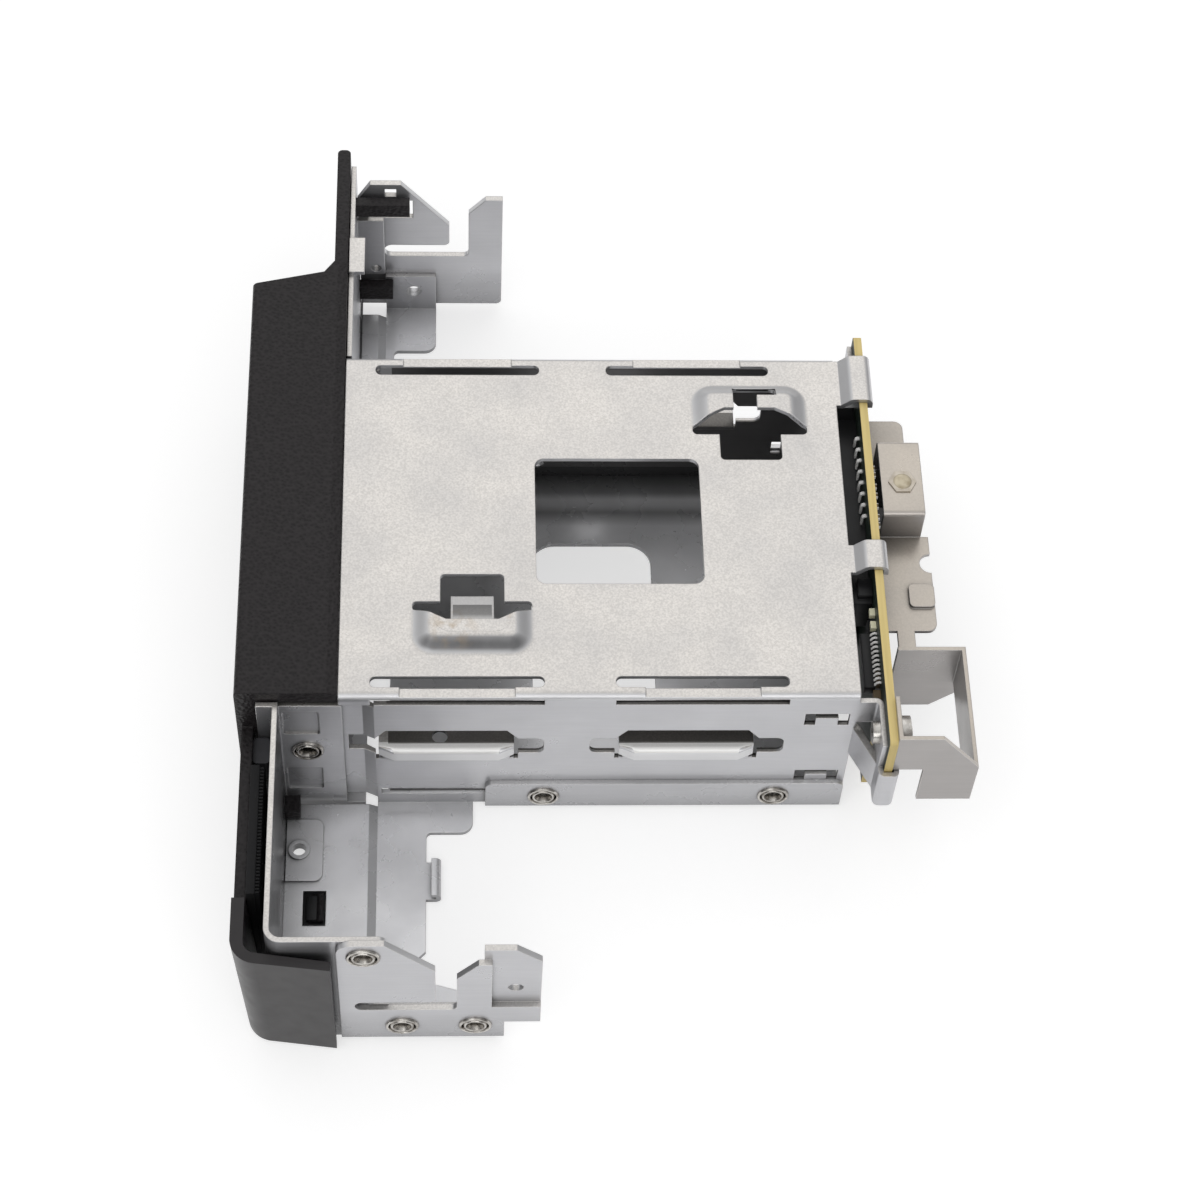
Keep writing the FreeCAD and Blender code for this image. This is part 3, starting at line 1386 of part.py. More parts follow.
def make_drive_connector(label, drop):
    """A drive connector with two guide ears and a slot, and its row of contacts."""
    body = new_piece(label + "_connector")
    front = BOARD_FRONT + " - plug_depth"
    top = below(drop)
    low = top + " - plug_height"
    middle = top + " - plug_height / 2"
    near = "plug_near"
    far = "plug_near + plug_width"
    ear_low = middle + " - plug_ear_height / 2"
    ear_high = middle + " + plug_ear_height / 2"
    outline = [
        (near, ear_low),
        (near + " + plug_ear", ear_low),
        (near + " + plug_ear", low),
        (far + " - plug_ear", low),
        (far + " - plug_ear", ear_low),
        (far, ear_low),
        (far, ear_high),
        (far + " - plug_ear", ear_high),
        (far + " - plug_ear", top),
        (near + " + plug_ear", top),
        (near + " + plug_ear", ear_high),
        (near, ear_high),
    ]
    pad(body, "YZ", front, "plug_depth", outline)
    slot_low = middle + " - plug_slot_height / 2"
    slot_near = near + " + plug_slot_start"
    slot_width = "(plug_width - 2 * plug_slot_start)"
    cut(body, "YZ", front, "plug_slot_depth",
        rectangle(slot_near, "%s + %s" % (slot_near, slot_width), slot_low, slot_low + " + plug_slot_height"))
    contacts = new_piece(label + "_contacts")
    count = "floor((%s - contact_width) / contact_pitch)" % slot_width
    margin = "(%s - contact_pitch * (%s - 1) - contact_width) / 2" % (slot_width, count)
    first = "%s + %s" % (slot_near, margin)
    blade = pad(contacts, "YZ", front + " + plug_slot_depth - contact_length", "contact_length",
                rectangle(first, first + " + contact_width", slot_low, slot_low + " + contact_gauge"))
    repeat(contacts, blade, "Y_Axis", "contact_pitch", count)


def make_signal_connector():
    body = new_piece("signal_connector")
    top = below("socket_drop")
    low = top + " - socket_height"
    far = "socket_near + socket_width"
    pad(body, "YZ", BOARD_REAR, "socket_depth", rectangle("socket_near", far, low, top))
    cut(body, "YZ", BOARD_REAR + " + socket_wall", "socket_depth",
        rectangle("socket_near + socket_wall", far + " - socket_wall", low + " + socket_wall",
                  top + " - socket_wall"))
    middle = top + " - socket_height / 2"
    pad(body, "YZ", BOARD_REAR + " + socket_wall / 2", "socket_depth - socket_wall",
        rectangle("socket_near + 2 * socket_wall", far + " - 2 * socket_wall",
                  middle + " - socket_tongue / 2", middle + " + socket_tongue / 2"))


def make_power_connector():
    body = new_piece("power_connector")
    top = below("socket_drop")
    low = top + " - power_height"
    far = "power_near + power_pins * power_pitch + socket_wall"
    pad(body, "YZ", BOARD_REAR, "power_depth", rectangle("power_near", far, low, top, "bend_inside"))
    first = "power_near + socket_wall"
    upper = top + " - socket_wall"
    lower = low + " + socket_wall"
    cavities = cut(body, "YZ", BOARD_REAR + " + socket_wall", "power_depth",
                   rectangle(first, first + " + power_cavity", upper + " - power_cavity", upper),
                   rectangle(first, first + " + power_cavity", lower, lower + " + power_cavity"))
    repeat(body, cavities, "Y_Axis", "power_pitch", "power_pins")


def make_board_row(label, near, width, drop, height, depth, pitch, count):
    """A row of like components on the board's front face."""
    body = new_piece(label)
    top = below(drop)
    item = pad(body, "YZ", "%s - %s" % (BOARD_FRONT, depth), depth,
               rectangle(near, "%s + %s" % (near, width), "%s - %s" % (top, height), top))
    repeat(body, item, "Y_Axis", pitch, count)


def make_rear_bracket():
    body = new_piece("rear_bracket")
    gauge = "rear_gauge"
    block_top = below("rear_block_drop")
    plate_top = below("rear_plate_drop")
    # Hat section from the far tab over the raised block to the near plate
    hat = [
        ("rear_plate_end", plate_top),
        ("rear_block_start", plate_top),
        ("rear_block_start", block_top, "rear_corner"),
        ("rear_block_end", block_top, "rear_corner"),
        ("rear_block_end", plate_top),
        ("rear_tab_end", plate_top),
        ("rear_tab_end", plate_top + " - rear_gauge"),
        ("rear_block_end - rear_gauge", plate_top + " - rear_gauge"),
        ("rear_block_end - rear_gauge", block_top + " - rear_gauge"),
        ("rear_block_start + rear_gauge", block_top + " - rear_gauge"),
        ("rear_block_start + rear_gauge", plate_top + " - rear_gauge"),
        ("rear_plate_end", plate_top + " - rear_gauge"),
    ]
    pad(body, "YZ", behind("rear_front"), "rear_plate_rear - rear_front", hat)
    # Trim of the tab and block, and the round notch of the plate
    trim_low = plate_top + " - 2 * rear_gauge"
    cut(body, "XY", trim_low, "2 * rear_plate_drop", [
        (behind("rear_block_rear"), "rear_block_start"),
        (behind("rear_plate_rear + cut_overrun"), "rear_block_start"),
        (behind("rear_plate_rear + cut_overrun"), "rear_tab_end + cut_overrun"),
        (behind("rear_tab_rear"), "rear_tab_end + cut_overrun"),
        (behind("rear_tab_rear"), "rear_block_end"),
        (behind("rear_block_rear"), "rear_block_end"),
    ], circle(behind("rear_plate_rear"), "rear_notch_y", "rear_notch"))
    tab_corner = (size_of(behind("rear_tab_rear")), size_of("rear_tab_end"))
    plate_corner = (size_of(behind("rear_plate_rear")), size_of("rear_plate_end"))
    round_edges(body, "rear_plate_corner", lambda box: box.ZLength > box.XLength + box.YLength and any(
        near_to(box.Center.x, x) and near_to(box.Center.y, y) for x, y in (tab_corner, plate_corner)))
    # Raised emboss
    pad(body, "XY", plate_top + " - rear_gauge", "rear_gauge + rear_emboss_rise",
        rectangle(behind("rear_emboss_front"), behind("rear_plate_rear"), "rear_emboss_start",
                  "rear_emboss_start + rear_emboss_width", "rear_corner"))
    # Neck to the loop
    pad(body, "XY", plate_top + " - rear_gauge", gauge,
        rectangle(behind("rear_neck_front"), behind("rear_neck_front + rear_neck_width"),
                  "loop_far - rear_gauge", "rear_plate_end + rear_gauge"))
    # Loop: far face, rear strip and near face
    pad(body, "XZ", "loop_far - rear_gauge", gauge, [
        (behind("loop_left"), plate_top),
        (behind("loop_rear"), plate_top),
        (behind("loop_rear"), below("loop_foot_drop") + " + loop_cut"),
        (behind("loop_rear - loop_cut"), below("loop_foot_drop")),
        (behind("loop_left"), below("loop_foot_drop")),
    ])
    near_foot = below("loop_near_foot")
    pad(body, "YZ", behind("loop_rear - rear_gauge"), gauge,
        rectangle("-loop_near", "loop_far", near_foot, plate_top))
    curl_head = below("curl_top_drop - curl_gap")
    pad(body, "XZ", "-loop_near", gauge, [
        (BOARD_REAR, curl_head),
        (BOARD_REAR, below("-loop_near_top")),
        (behind("loop_near_shoulder"), below("-loop_near_top")),
        (behind("loop_rear"), plate_top),
        (behind("loop_rear"), near_foot),
        (behind("loop_foot_left"), near_foot),
        (behind("loop_foot_left"), curl_head),
    ])
    # Flange on the rear of the board for the screw, and the far anchor flange
    curl_side = CURL_FRONT + " + curl_return + curl_gap"
    pad(body, "YZ", BOARD_REAR, gauge, [
        ("-loop_near", below("-loop_near_top")),
        ("-mount_flange_far", below("-loop_near_top")),
        ("-mount_flange_far", near_foot),
        (curl_side, near_foot),
        (curl_side, curl_head),
        ("-loop_near", curl_head),
    ], circle("-screw_y", below("screw_drop"), "nut_shank"))
    pad(body, "YZ", BOARD_REAR, gauge,
        rectangle("anchor_start", "anchor_start + anchor_width", below("anchor_foot"), plate_top))
    pad(body, "XY", plate_top + " - rear_gauge", gauge,
        rectangle(BOARD_REAR, behind("rear_front"), "anchor_start", "anchor_start + anchor_width"))
    cut(body, "XY", block_top + " - 2 * rear_gauge", "4 * rear_gauge",
        circle(INSERT_X, "insert_y", "insert_body"))


def hexagon(across, up, flats):
    """Corners of a hexagon with two flats facing along y."""
    far = "%s / sqrt(3)" % flats
    near = "%s / (2 * sqrt(3))" % flats
    half = "%s / 2" % flats
    return [
        ("%s + %s" % (across, far), up),
        ("%s + %s" % (across, near), "%s + %s" % (up, half)),
        ("%s - %s" % (across, near), "%s + %s" % (up, half)),
        ("%s - %s" % (across, far), up),
        ("%s - %s" % (across, near), "%s - %s" % (up, half)),
        ("%s + %s" % (across, near), "%s - %s" % (up, half)),
    ]


def make_hex_insert():
    body = new_piece("hex_insert")
    face = below("rear_block_drop")
    pad(body, "XY", face + " - insert_length", "insert_length", circle(INSERT_X, "insert_y", "insert_body"))
    pad(body, "XY", face, "insert_rise", hexagon(INSERT_X, "insert_y", "insert_flats"))
    cut(body, "XY", face + " - insert_length", "insert_length - insert_head",
        circle(INSERT_X, "insert_y", "insert_bore"))


def make_backplane_screw():
    """Screw through the cage's flange, the board and the rear bracket's flange."""
    body = new_piece("backplane_screw")
    face = BOARD_FRONT + " - sheet_gauge"
    tip = BOARD_REAR + " + rear_gauge + nut_height + screw_end"
    head = face + " - screw_head_height"
    up = below("screw_drop")
    pad(body, "YZ", face, "%s - (%s)" % (tip, face), circle("-screw_y", up, "screw_thread"))
    pad(body, "YZ", head, "screw_head_height", circle("-screw_y", up, "screw_head"))
    cut(body, "YZ", head, "screw_recess_depth", hexagon("-screw_y", up, "screw_recess"))


def make_clinch_nut():
    body = new_piece("clinch_nut")
    up = below("screw_drop")
    bore = circle("-screw_y", up, "screw_thread + thread_clearance")
    pad(body, "YZ", BOARD_REAR, "rear_gauge", circle("-screw_y", up, "nut_shank"), bore)
    pad(body, "YZ", BOARD_REAR + " + rear_gauge", "nut_height", circle("-screw_y", up, "nut_body"), bore)


make_cage_shell()
make_bottom_tray()
make_front_frame()
make_near_hook_bracket()
make_far_hook_bracket()
make_joint_eyelets()
make_front_bezel()
make_bezel_end_cap()
make_bezel_latch()
make_gasket_strip()
make_backplane_board()
make_drive_connector("upper_drive", "plug_drop")
make_drive_connector("lower_drive", "plug_drop + plug_pitch")
make_signal_connector()
make_power_connector()
make_board_row("backplane_chips", "chip_near", "chip_width", "chip_drop", "chip_height", "chip_depth",
               "chip_pitch", "2")
make_board_row("backplane_capacitors", "capacitor_near", "capacitor_width", "capacitor_drop",
               "capacitor_height", "capacitor_depth", "capacitor_pitch", "2")
make_board_row("status_leds", "led_near", "led_width", "led_drop", "led_height", "led_depth",
               "led_pitch", "2")
make_rear_bracket()
make_hex_insert()
make_backplane_screw()
make_clinch_nut()

doc.recompute()
for item in doc.Objects:
    if "Invalid" in item.State or "Error" in item.State:
        raise RuntimeError("failed: %s %s" % (item.Label, item.State))
os.makedirs("parts", exist_ok=True)
for part in parts:
    if part.Shape.isNull() or not part.Shape.isValid() or not part.Shape.Solids:
        raise RuntimeError("bad shape: " + part.Label)
for part in parts:
    part.Shape.exportStep("parts/%s.step" % part.Label)
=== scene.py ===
import json
import math

import bmesh
import bpy
from mathutils import Matrix, Vector


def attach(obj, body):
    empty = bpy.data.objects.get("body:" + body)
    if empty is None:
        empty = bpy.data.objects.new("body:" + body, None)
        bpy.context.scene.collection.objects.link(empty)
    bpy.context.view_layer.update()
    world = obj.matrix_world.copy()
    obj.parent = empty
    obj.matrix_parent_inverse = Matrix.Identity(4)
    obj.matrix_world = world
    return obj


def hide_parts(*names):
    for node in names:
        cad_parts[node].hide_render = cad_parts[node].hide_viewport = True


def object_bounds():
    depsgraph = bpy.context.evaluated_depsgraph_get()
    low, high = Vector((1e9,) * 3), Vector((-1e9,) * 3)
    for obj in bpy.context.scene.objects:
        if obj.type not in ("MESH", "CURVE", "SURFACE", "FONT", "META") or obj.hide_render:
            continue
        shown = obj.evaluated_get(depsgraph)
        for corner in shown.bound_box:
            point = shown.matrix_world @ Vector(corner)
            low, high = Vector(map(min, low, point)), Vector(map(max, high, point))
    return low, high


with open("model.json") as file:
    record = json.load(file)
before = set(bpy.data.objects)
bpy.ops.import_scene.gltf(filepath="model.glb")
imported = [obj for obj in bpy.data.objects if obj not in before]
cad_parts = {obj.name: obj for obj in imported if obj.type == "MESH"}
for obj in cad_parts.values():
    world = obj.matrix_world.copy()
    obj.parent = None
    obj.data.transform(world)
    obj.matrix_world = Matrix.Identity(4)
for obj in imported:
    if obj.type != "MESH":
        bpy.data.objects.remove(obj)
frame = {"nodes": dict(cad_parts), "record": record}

# Looks for a two-bay drive cage. Blender works in metres; at() and MM turn millimetres into them.
MM = 0.001
# A colour ramp runs from 0 to 1: these bring heights up to 50 mm and lengths up to 100 mm into it.
HEIGHT_SCALE = 20.0
LENGTH_SCALE = 10.0

cad_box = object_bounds()
nodes = frame["nodes"]
scene = bpy.context.scene
scene.view_settings.view_transform = "Standard"


def at(x, y, z):
    """A point given in mm from the top plate's front edge, the near wall's outer face and the plate's top."""
    return Vector((x - 50.55, y - 40.65, z + 41.0)) * MM


def toned(colour, factor):
    """A colour made darker or paler by one factor."""
    return tuple(min(1.0, channel * factor) for channel in colour)


# Node helpers

class Shader:
    """A material's node tree with short calls for the nodes used here, lengths in metres."""

    def __init__(self, name):
        self.material = bpy.data.materials.new(name)
        self.material.use_nodes = True
        self.tree = self.material.node_tree
        self.body = self.tree.nodes["Principled BSDF"]

    def add(self, kind, **settings):
        node = self.tree.nodes.new(kind)
        for key, value in settings.items():
            setattr(node, key, value)
        return node

    def link(self, source, target):
        self.tree.links.new(source, target)

    def put(self, socket, value):
        """Link a node's output, or set a plain value; a colour gets full alpha."""
        if isinstance(value, bpy.types.NodeSocket):
            self.link(value, socket)
        else:
            socket.default_value = (*value, 1.0) if isinstance(value, tuple) else value

    def coordinates(self, stretch=(1, 1, 1)):
        place = self.add("ShaderNodeTexCoord")
        mapping = self.add("ShaderNodeMapping")
        mapping.inputs["Scale"].default_value = stretch
        self.link(place.outputs["Object"], mapping.inputs["Vector"])
        return mapping.outputs["Vector"]

    def split(self, vector):
        """The X, Y and Z outputs of a vector."""
        node = self.add("ShaderNodeSeparateXYZ")
        self.link(vector, node.inputs[0])
        return node.outputs

    def noise(self, scale, detail=3.0, stretch=(1, 1, 1)):
        node = self.add("ShaderNodeTexNoise")
        node.inputs["Scale"].default_value = scale
        node.inputs["Detail"].default_value = detail
        self.link(self.coordinates(stretch), node.inputs["Vector"])
        return node.outputs["Fac"]

    def cells(self, scale, feature="F1", randomness=1.0):
        node = self.add("ShaderNodeTexVoronoi", feature=feature)
        node.inputs["Scale"].default_value = scale
        node.inputs["Randomness"].default_value = randomness
        self.link(self.coordinates(), node.inputs["Vector"])
        return node.outputs["Distance"]

    def ramp(self, factor, *stops):
        """Greys along a factor; each stop is a place and a level."""
        node = self.add("ShaderNodeValToRGB")
        elements = node.color_ramp.elements
        while len(elements) < len(stops):
            elements.new(0.5)
        for element, (place, level) in zip(elements, stops):
            element.position = place
            element.color = (level, level, level, 1.0)
        self.link(factor, node.inputs["Fac"])
        return node.outputs["Color"]

    def math(self, operation, *values):
        node = self.add("ShaderNodeMath", operation=operation)
        for socket, value in zip(node.inputs, values):
            self.put(socket, value)
        return node.outputs[0]

    def mix(self, factor, first, second, blend="MIX"):
        """Mix two colours; the node's sockets 6 and 7 take them, and output 2 gives the result."""
        node = self.add("ShaderNodeMix", data_type="RGBA", blend_type=blend)
        self.put(node.inputs["Factor"], factor)
        self.put(node.inputs[6], first)
        self.put(node.inputs[7], second)
        return node.outputs[2]

    def darken(self, colour, where, shade):
        """Multiply a colour by a shade, as far as a mask says."""
        return self.mix(where, colour, shade, "MULTIPLY")

    def bump(self, height, strength, distance, below=None):
        node = self.add("ShaderNodeBump")
        node.inputs["Strength"].default_value = strength
        node.inputs["Distance"].default_value = distance
        self.link(height, node.inputs["Height"])
        if below is not None:
            self.link(below, node.inputs["Normal"])
        return node.outputs["Normal"]

    def facing(self, axis):
        """How much a surface faces along one of the part's own axes."""
        return self.split(self.add("ShaderNodeNewGeometry").outputs["True Normal"])[axis]

    def beneath(self, low, high):
        """1 below a low height over the part's underside, 0 above a high one."""
        scaled = self.math("MULTIPLY", self.split(self.coordinates())["Z"], HEIGHT_SCALE)
        return self.ramp(scaled, (low * HEIGHT_SCALE, 1.0), (high * HEIGHT_SCALE, 0.0))

    def within(self, low, high):
        """1 inside a box of the part, 0 outside it."""
        place = self.split(self.coordinates())
        inside = 1.0
        for axis, start, end in zip("XYZ", low, high):
            inside = self.math("MULTIPLY", self.math("GREATER_THAN", place[axis], start), inside)
            inside = self.math("MULTIPLY", self.math("LESS_THAN", place[axis], end), inside)
        return inside

    def along(self, axis, stops):
        """Greys along X or Y; a stop is a distance in mm from the plate's front or near edge, and a level."""
        shifted = self.math("SUBTRACT", self.split(self.coordinates())[axis], at(0, 0, 0)["XY".index(axis)])
        scaled = self.math("MULTIPLY", shifted, LENGTH_SCALE)
        return self.ramp(scaled, *((place * MM * LENGTH_SCALE, level) for place, level in stops))

    def rim(self, radius, low=0.86, high=0.985):
        """1 within a short way of a sharp edge, and the normal that rounds that edge."""
        soft = self.add("ShaderNodeBevel", samples=6)
        soft.inputs["Radius"].default_value = radius
        geometry = self.add("ShaderNodeNewGeometry")
        same = self.add("ShaderNodeVectorMath", operation="DOT_PRODUCT")
        self.link(soft.outputs["Normal"], same.inputs[0])
        self.link(geometry.outputs["Normal"], same.inputs[1])
        return self.ramp(same.outputs["Value"], (low, 1.0), (high, 0.0)), soft.outputs["Normal"]

    def spot(self, place, radius):
        """1 at a point of the part, fading to 0 at a radius."""
        reach = self.add("ShaderNodeVectorMath", operation="DISTANCE")
        self.link(self.coordinates(), reach.inputs[0])
        reach.inputs[1].default_value = place
        return self.ramp(self.math("DIVIDE", reach.outputs["Value"], radius), (0.0, 1.0), (1.0, 0.0))

    def finish(self, **sockets):
        """Put values on the shader's own sockets, named with _ for each space."""
        for name, value in sockets.items():
            self.put(self.body.inputs[name.replace("_", " ")], value)
        return self.material


# Zinc sheet: heights and reach in metres, boxes by two corners, painted shades and reflections along an axis as
# places in mm and levels

LOW_FLOORS = (0.008, 0.014)
BOSS_SLOPES = (0.0411, 0.0415)
# Painted shade reaches this far from corners and between parts.
CORNER_REACH = 0.014
# Painted highlight colour for sharp edges.
EDGE_HIGHLIGHT = (0.86, 0.85, 0.83)
DRIED_OIL = (0.34, 0.23, 0.11)
STAINS = ((at(21.0, 15.0, 1.8), 0.006), (at(31.5, 17.5, 1.8), 0.003))
# Painted shade inside the bays.
BAYS = (at(9.0, 0.6, -37.0), at(97.5, 79.4, -0.9))
BAY_SHADE = (0.26, 0.255, 0.25)
# Painted reflection: light and dark bands across the tray's far half, fading towards the tray's front.
TRAY_FAR_HALF = (at(9.0, 42.0, -41.0), at(97.5, 79.4, -36.9))
TRAY_PAINTED_REFLECTION = ((66.0, 1.0), (69.4, 0.38), (71.3, 0.8), (72.8, 0.9), (74.4, 0.4), (79.0, 0.15))
TRAY_REFLECTION_FADE = ((28.0, 0.4), (40.0, 1.0))
# Painted shade on the tab that slopes down from the near boss's mouth.
PRESSED_TAB = (at(21.4, 16.3, 0.3), at(28.8, 22.5, 2.2))
TAB_SHADE = ((16.4, 1.0), (17.6, 0.45), (20.0, 0.35))
# Painted shade: the front wall's inner face made nearly black.
FRONT_WALL_INSIDE = (at(-11.6, -46.0, -38.5), at(-11.0, -1.5, -2.0))
FRONT_WALL_INSIDE_SHADE = (0.08, 0.08, 0.08)


def painted_inside_shade(s, colour):
    """Painted shade in corners, in the bays, on the pressed tab and on the front wall's inner face, and painted
    reflection bands on the tray's far half.
    """
    # Painted shade: darker in corners and between parts, by ambient occlusion.
    corners = s.add("ShaderNodeAmbientOcclusion", samples=8)
    corners.inputs["Distance"].default_value = CORNER_REACH
    colour = s.darken(colour, 1.0, s.ramp(corners.outputs["AO"], (0.25, 0.3), (0.72, 1.0)))
    # Painted shade: the insides of the bays darkened.
    colour = s.darken(colour, s.within(*BAYS), BAY_SHADE)
    # Painted reflection bands on the tray's far half.
    tray_reflection = s.darken(s.along("Y", TRAY_PAINTED_REFLECTION), 1.0, s.along("X", TRAY_REFLECTION_FADE))
    colour = s.darken(colour, s.within(*TRAY_FAR_HALF), tray_reflection)
    # Painted shade on the pressed tab.
    colour = s.darken(colour, s.within(*PRESSED_TAB), s.along("Y", TAB_SHADE))
    # Painted shade on the front wall's inner face.
    return s.darken(colour, s.within(*FRONT_WALL_INSIDE), FRONT_WALL_INSIDE_SHADE)


def zinc(name, top, floors, slopes, sides, speckle, stains=(), metal=0.7):
    """Zinc-plated sheet: speckled on the top plate, smoother on the floors and finely brushed on upright faces.
    Its colours by orientation are painted light: upright faces and pressed slopes darker than the top as painted
    shade, low floors paler than the top as painted light, and pressed slopes facing the near side nearly black as
    a painted reflection."""
    s = Shader(name)
    grains = s.noise(2600, 2.0)
    cloud = s.noise(90, 5.0)
    lines = s.noise(1400, 3.0, (0.06, 1.0, 1.0))
    edge, rounded = s.rim(0.0003)
    tilt = s.facing("Z")
    low = s.beneath(*LOW_FLOORS)
    speckled = s.mix(s.ramp(grains, (0.36, 0.0), (0.66, 1.0)), toned(top, 1 - speckle), top)
    # Upright faces: real brushing, in a darker colour than the top as painted shade.
    brushed = s.mix(s.ramp(lines, (0.3, 0.0), (0.7, 1.0)), toned(sides, 0.92), toned(sides, 0.97))
    raised = s.math("SUBTRACT", 1.0, s.beneath(*BOSS_SLOPES))
    # Painted reflection: pressed slopes facing the near side made nearly black.
    near_side = s.ramp(s.math("MULTIPLY_ADD", s.facing("Y"), 0.5, 0.5), (0.2, 1.0), (0.44, 0.0))
    pressed = s.mix(s.math("MULTIPLY", raised, near_side), slopes, toned(slopes, 0.09))
    colour = s.mix(s.ramp(tilt, (0.3, 0.0), (0.45, 1.0)), brushed, pressed)
    # Low floors paler than the top plate as painted light.
    colour = s.mix(s.ramp(tilt, (0.9, 0.0), (0.985, 1.0)), colour, s.mix(low, speckled, floors))
    colour = s.mix(s.ramp(cloud, (0.35, 0.0), (0.75, 0.3)), colour, toned(sides, 0.8))
    # Painted highlight: sharp edges turned pale.
    colour = s.mix(s.math("MULTIPLY", edge, 0.55), colour, EDGE_HIGHLIGHT)
    for place, radius in stains:
        broken = s.ramp(s.noise(420, 4.0), (0.45, 0.0), (0.62, 0.55))
        colour = s.mix(s.math("MULTIPLY", s.spot(place, radius), broken), colour, DRIED_OIL)
    normal = s.bump(lines, 0.06, 0.00003, s.bump(grains, 0.12, 0.00004, rounded))
    return s.finish(
        Base_Color=painted_inside_shade(s, colour),
        Metallic=s.ramp(low, (0.0, metal), (1.0, 0.32)),
        Roughness=s.mix(low, s.ramp(cloud, (0.25, 0.26), (0.8, 0.38)), s.ramp(cloud, (0.25, 0.22), (0.8, 0.34))),
        Normal=normal)


# Other materials

def grained(name, colour, grain, depth, roughness):
    """Moulded plastic with a fine pebble grain, rubbed paler along its edges."""
    s = Shader(name)
    pebbles = s.cells(grain, "SMOOTH_F1")
    cloud = s.noise(40)
    edge, rounded = s.rim(0.0005, 0.8, 0.98)
    shade = s.mix(s.ramp(cloud, (0.3, 0.0), (0.7, 1.0)), toned(colour, 0.85), toned(colour, 1.15))
    shade = s.mix(s.ramp(pebbles, (0.15, 0.0), (0.6, 0.55)), shade, toned(colour, 2.6))
    worn = s.math("MULTIPLY", edge, s.ramp(s.noise(260, 4.0), (0.42, 0.1), (0.7, 0.8)))
    return s.finish(
        Base_Color=s.mix(worn, shade, toned(colour, 3.2)),
        Roughness=s.ramp(cloud, (0.3, roughness - 0.05), (0.7, roughness + 0.05)),
        Specular_IOR_Level=0.22,
        Normal=s.bump(pebbles, 0.7, depth, rounded))


def laminate(name):
    """Board: dark green faces with fine traces, tan cut edges."""
    s = Shader(name)
    face = s.ramp(s.math("ABSOLUTE", s.facing("X")), (0.6, 0.0), (0.75, 1.0))
    traces = s.cells(700, "DISTANCE_TO_EDGE", 0.2)
    mask = s.mix(s.ramp(traces, (0.05, 1.0), (0.12, 0.0)), (0.006, 0.014, 0.009), (0.016, 0.036, 0.02))
    layers = s.noise(1500, 2.0, (1.0, 0.03, 0.03))
    edge = s.mix(layers, (0.56, 0.43, 0.15), (0.86, 0.69, 0.3))
    return s.finish(Base_Color=s.mix(face, edge, mask), Roughness=s.ramp(layers, (0.2, 0.42), (0.8, 0.6)))


def plated(name, colour, dark, roughness):
    """Plated metal with faint staining."""
    s = Shader(name)
    stain = s.noise(700, 4.0)
    return s.finish(
        Base_Color=s.mix(s.ramp(stain, (0.4, 0.0), (0.75, 1.0)), colour, dark),
        Metallic=1.0,
        Roughness=s.ramp(stain, (0.3, roughness), (0.8, roughness + 0.15)),
        Normal=s.bump(stain, 0.03, 0.00002))


def moulded(name, colour, roughness):
    """Smooth moulded plastic with a little unevenness and paler edges."""
    s = Shader(name)
    cloud = s.noise(300)
    edge, rounded = s.rim(0.0002, 0.8, 0.98)
    shade = s.mix(s.ramp(cloud, (0.3, 0.0), (0.7, 1.0)), toned(colour, 0.85), toned(colour, 1.12))
    return s.finish(
        Base_Color=s.mix(s.math("MULTIPLY", edge, 0.35), shade, toned(colour, 2.2)),
        Roughness=s.ramp(cloud, (0.3, roughness - 0.04), (0.7, roughness + 0.06)),
        Specular_IOR_Level=0.35,
        Normal=s.bump(cloud, 0.05, 0.00003, rounded))


# The top, floors, slopes and sides colours are lit and shaded copies of one sheet: painted light and shade.
MATERIALS = {
    "zinc_sheet": zinc("zinc_sheet", top=(0.75, 0.72, 0.685), floors=(0.94, 0.94, 0.96), slopes=(0.62, 0.62, 0.63),
                       sides=(0.6, 0.6, 0.62), speckle=0.2, stains=STAINS),
    "bracket_steel": zinc("bracket_steel", top=(0.55, 0.5, 0.44), floors=(0.65, 0.59, 0.53),
                          slopes=(0.52, 0.48, 0.44), sides=(0.43, 0.41, 0.4), speckle=0.08),
    "grained_plastic": grained("grained_plastic", (0.012, 0.0105, 0.011), 1500, 0.0002, 0.42),
    "satin_plastic": moulded("satin_plastic", (0.022, 0.0195, 0.0205), 0.34),
    "grey_plastic": moulded("grey_plastic", (0.05, 0.05, 0.055), 0.45),
    "gasket_foam": moulded("gasket_foam", (0.012, 0.012, 0.013), 0.8),
    "board_laminate": laminate("board_laminate"),
    "black_nylon": moulded("black_nylon", (0.012, 0.012, 0.013), 0.42),
    "contact_gold": plated("contact_gold", (0.78, 0.6, 0.28), (0.6, 0.42, 0.18), 0.25),
    "chip_black": moulded("chip_black", (0.015, 0.015, 0.016), 0.55),
    "capacitor_tan": moulded("capacitor_tan", (0.16, 0.115, 0.065), 0.5),
    "led_lens": moulded("led_lens", (0.8, 0.77, 0.55), 0.25),
    "nickel": plated("nickel", (0.56, 0.54, 0.51), (0.2, 0.18, 0.16), 0.2),
}
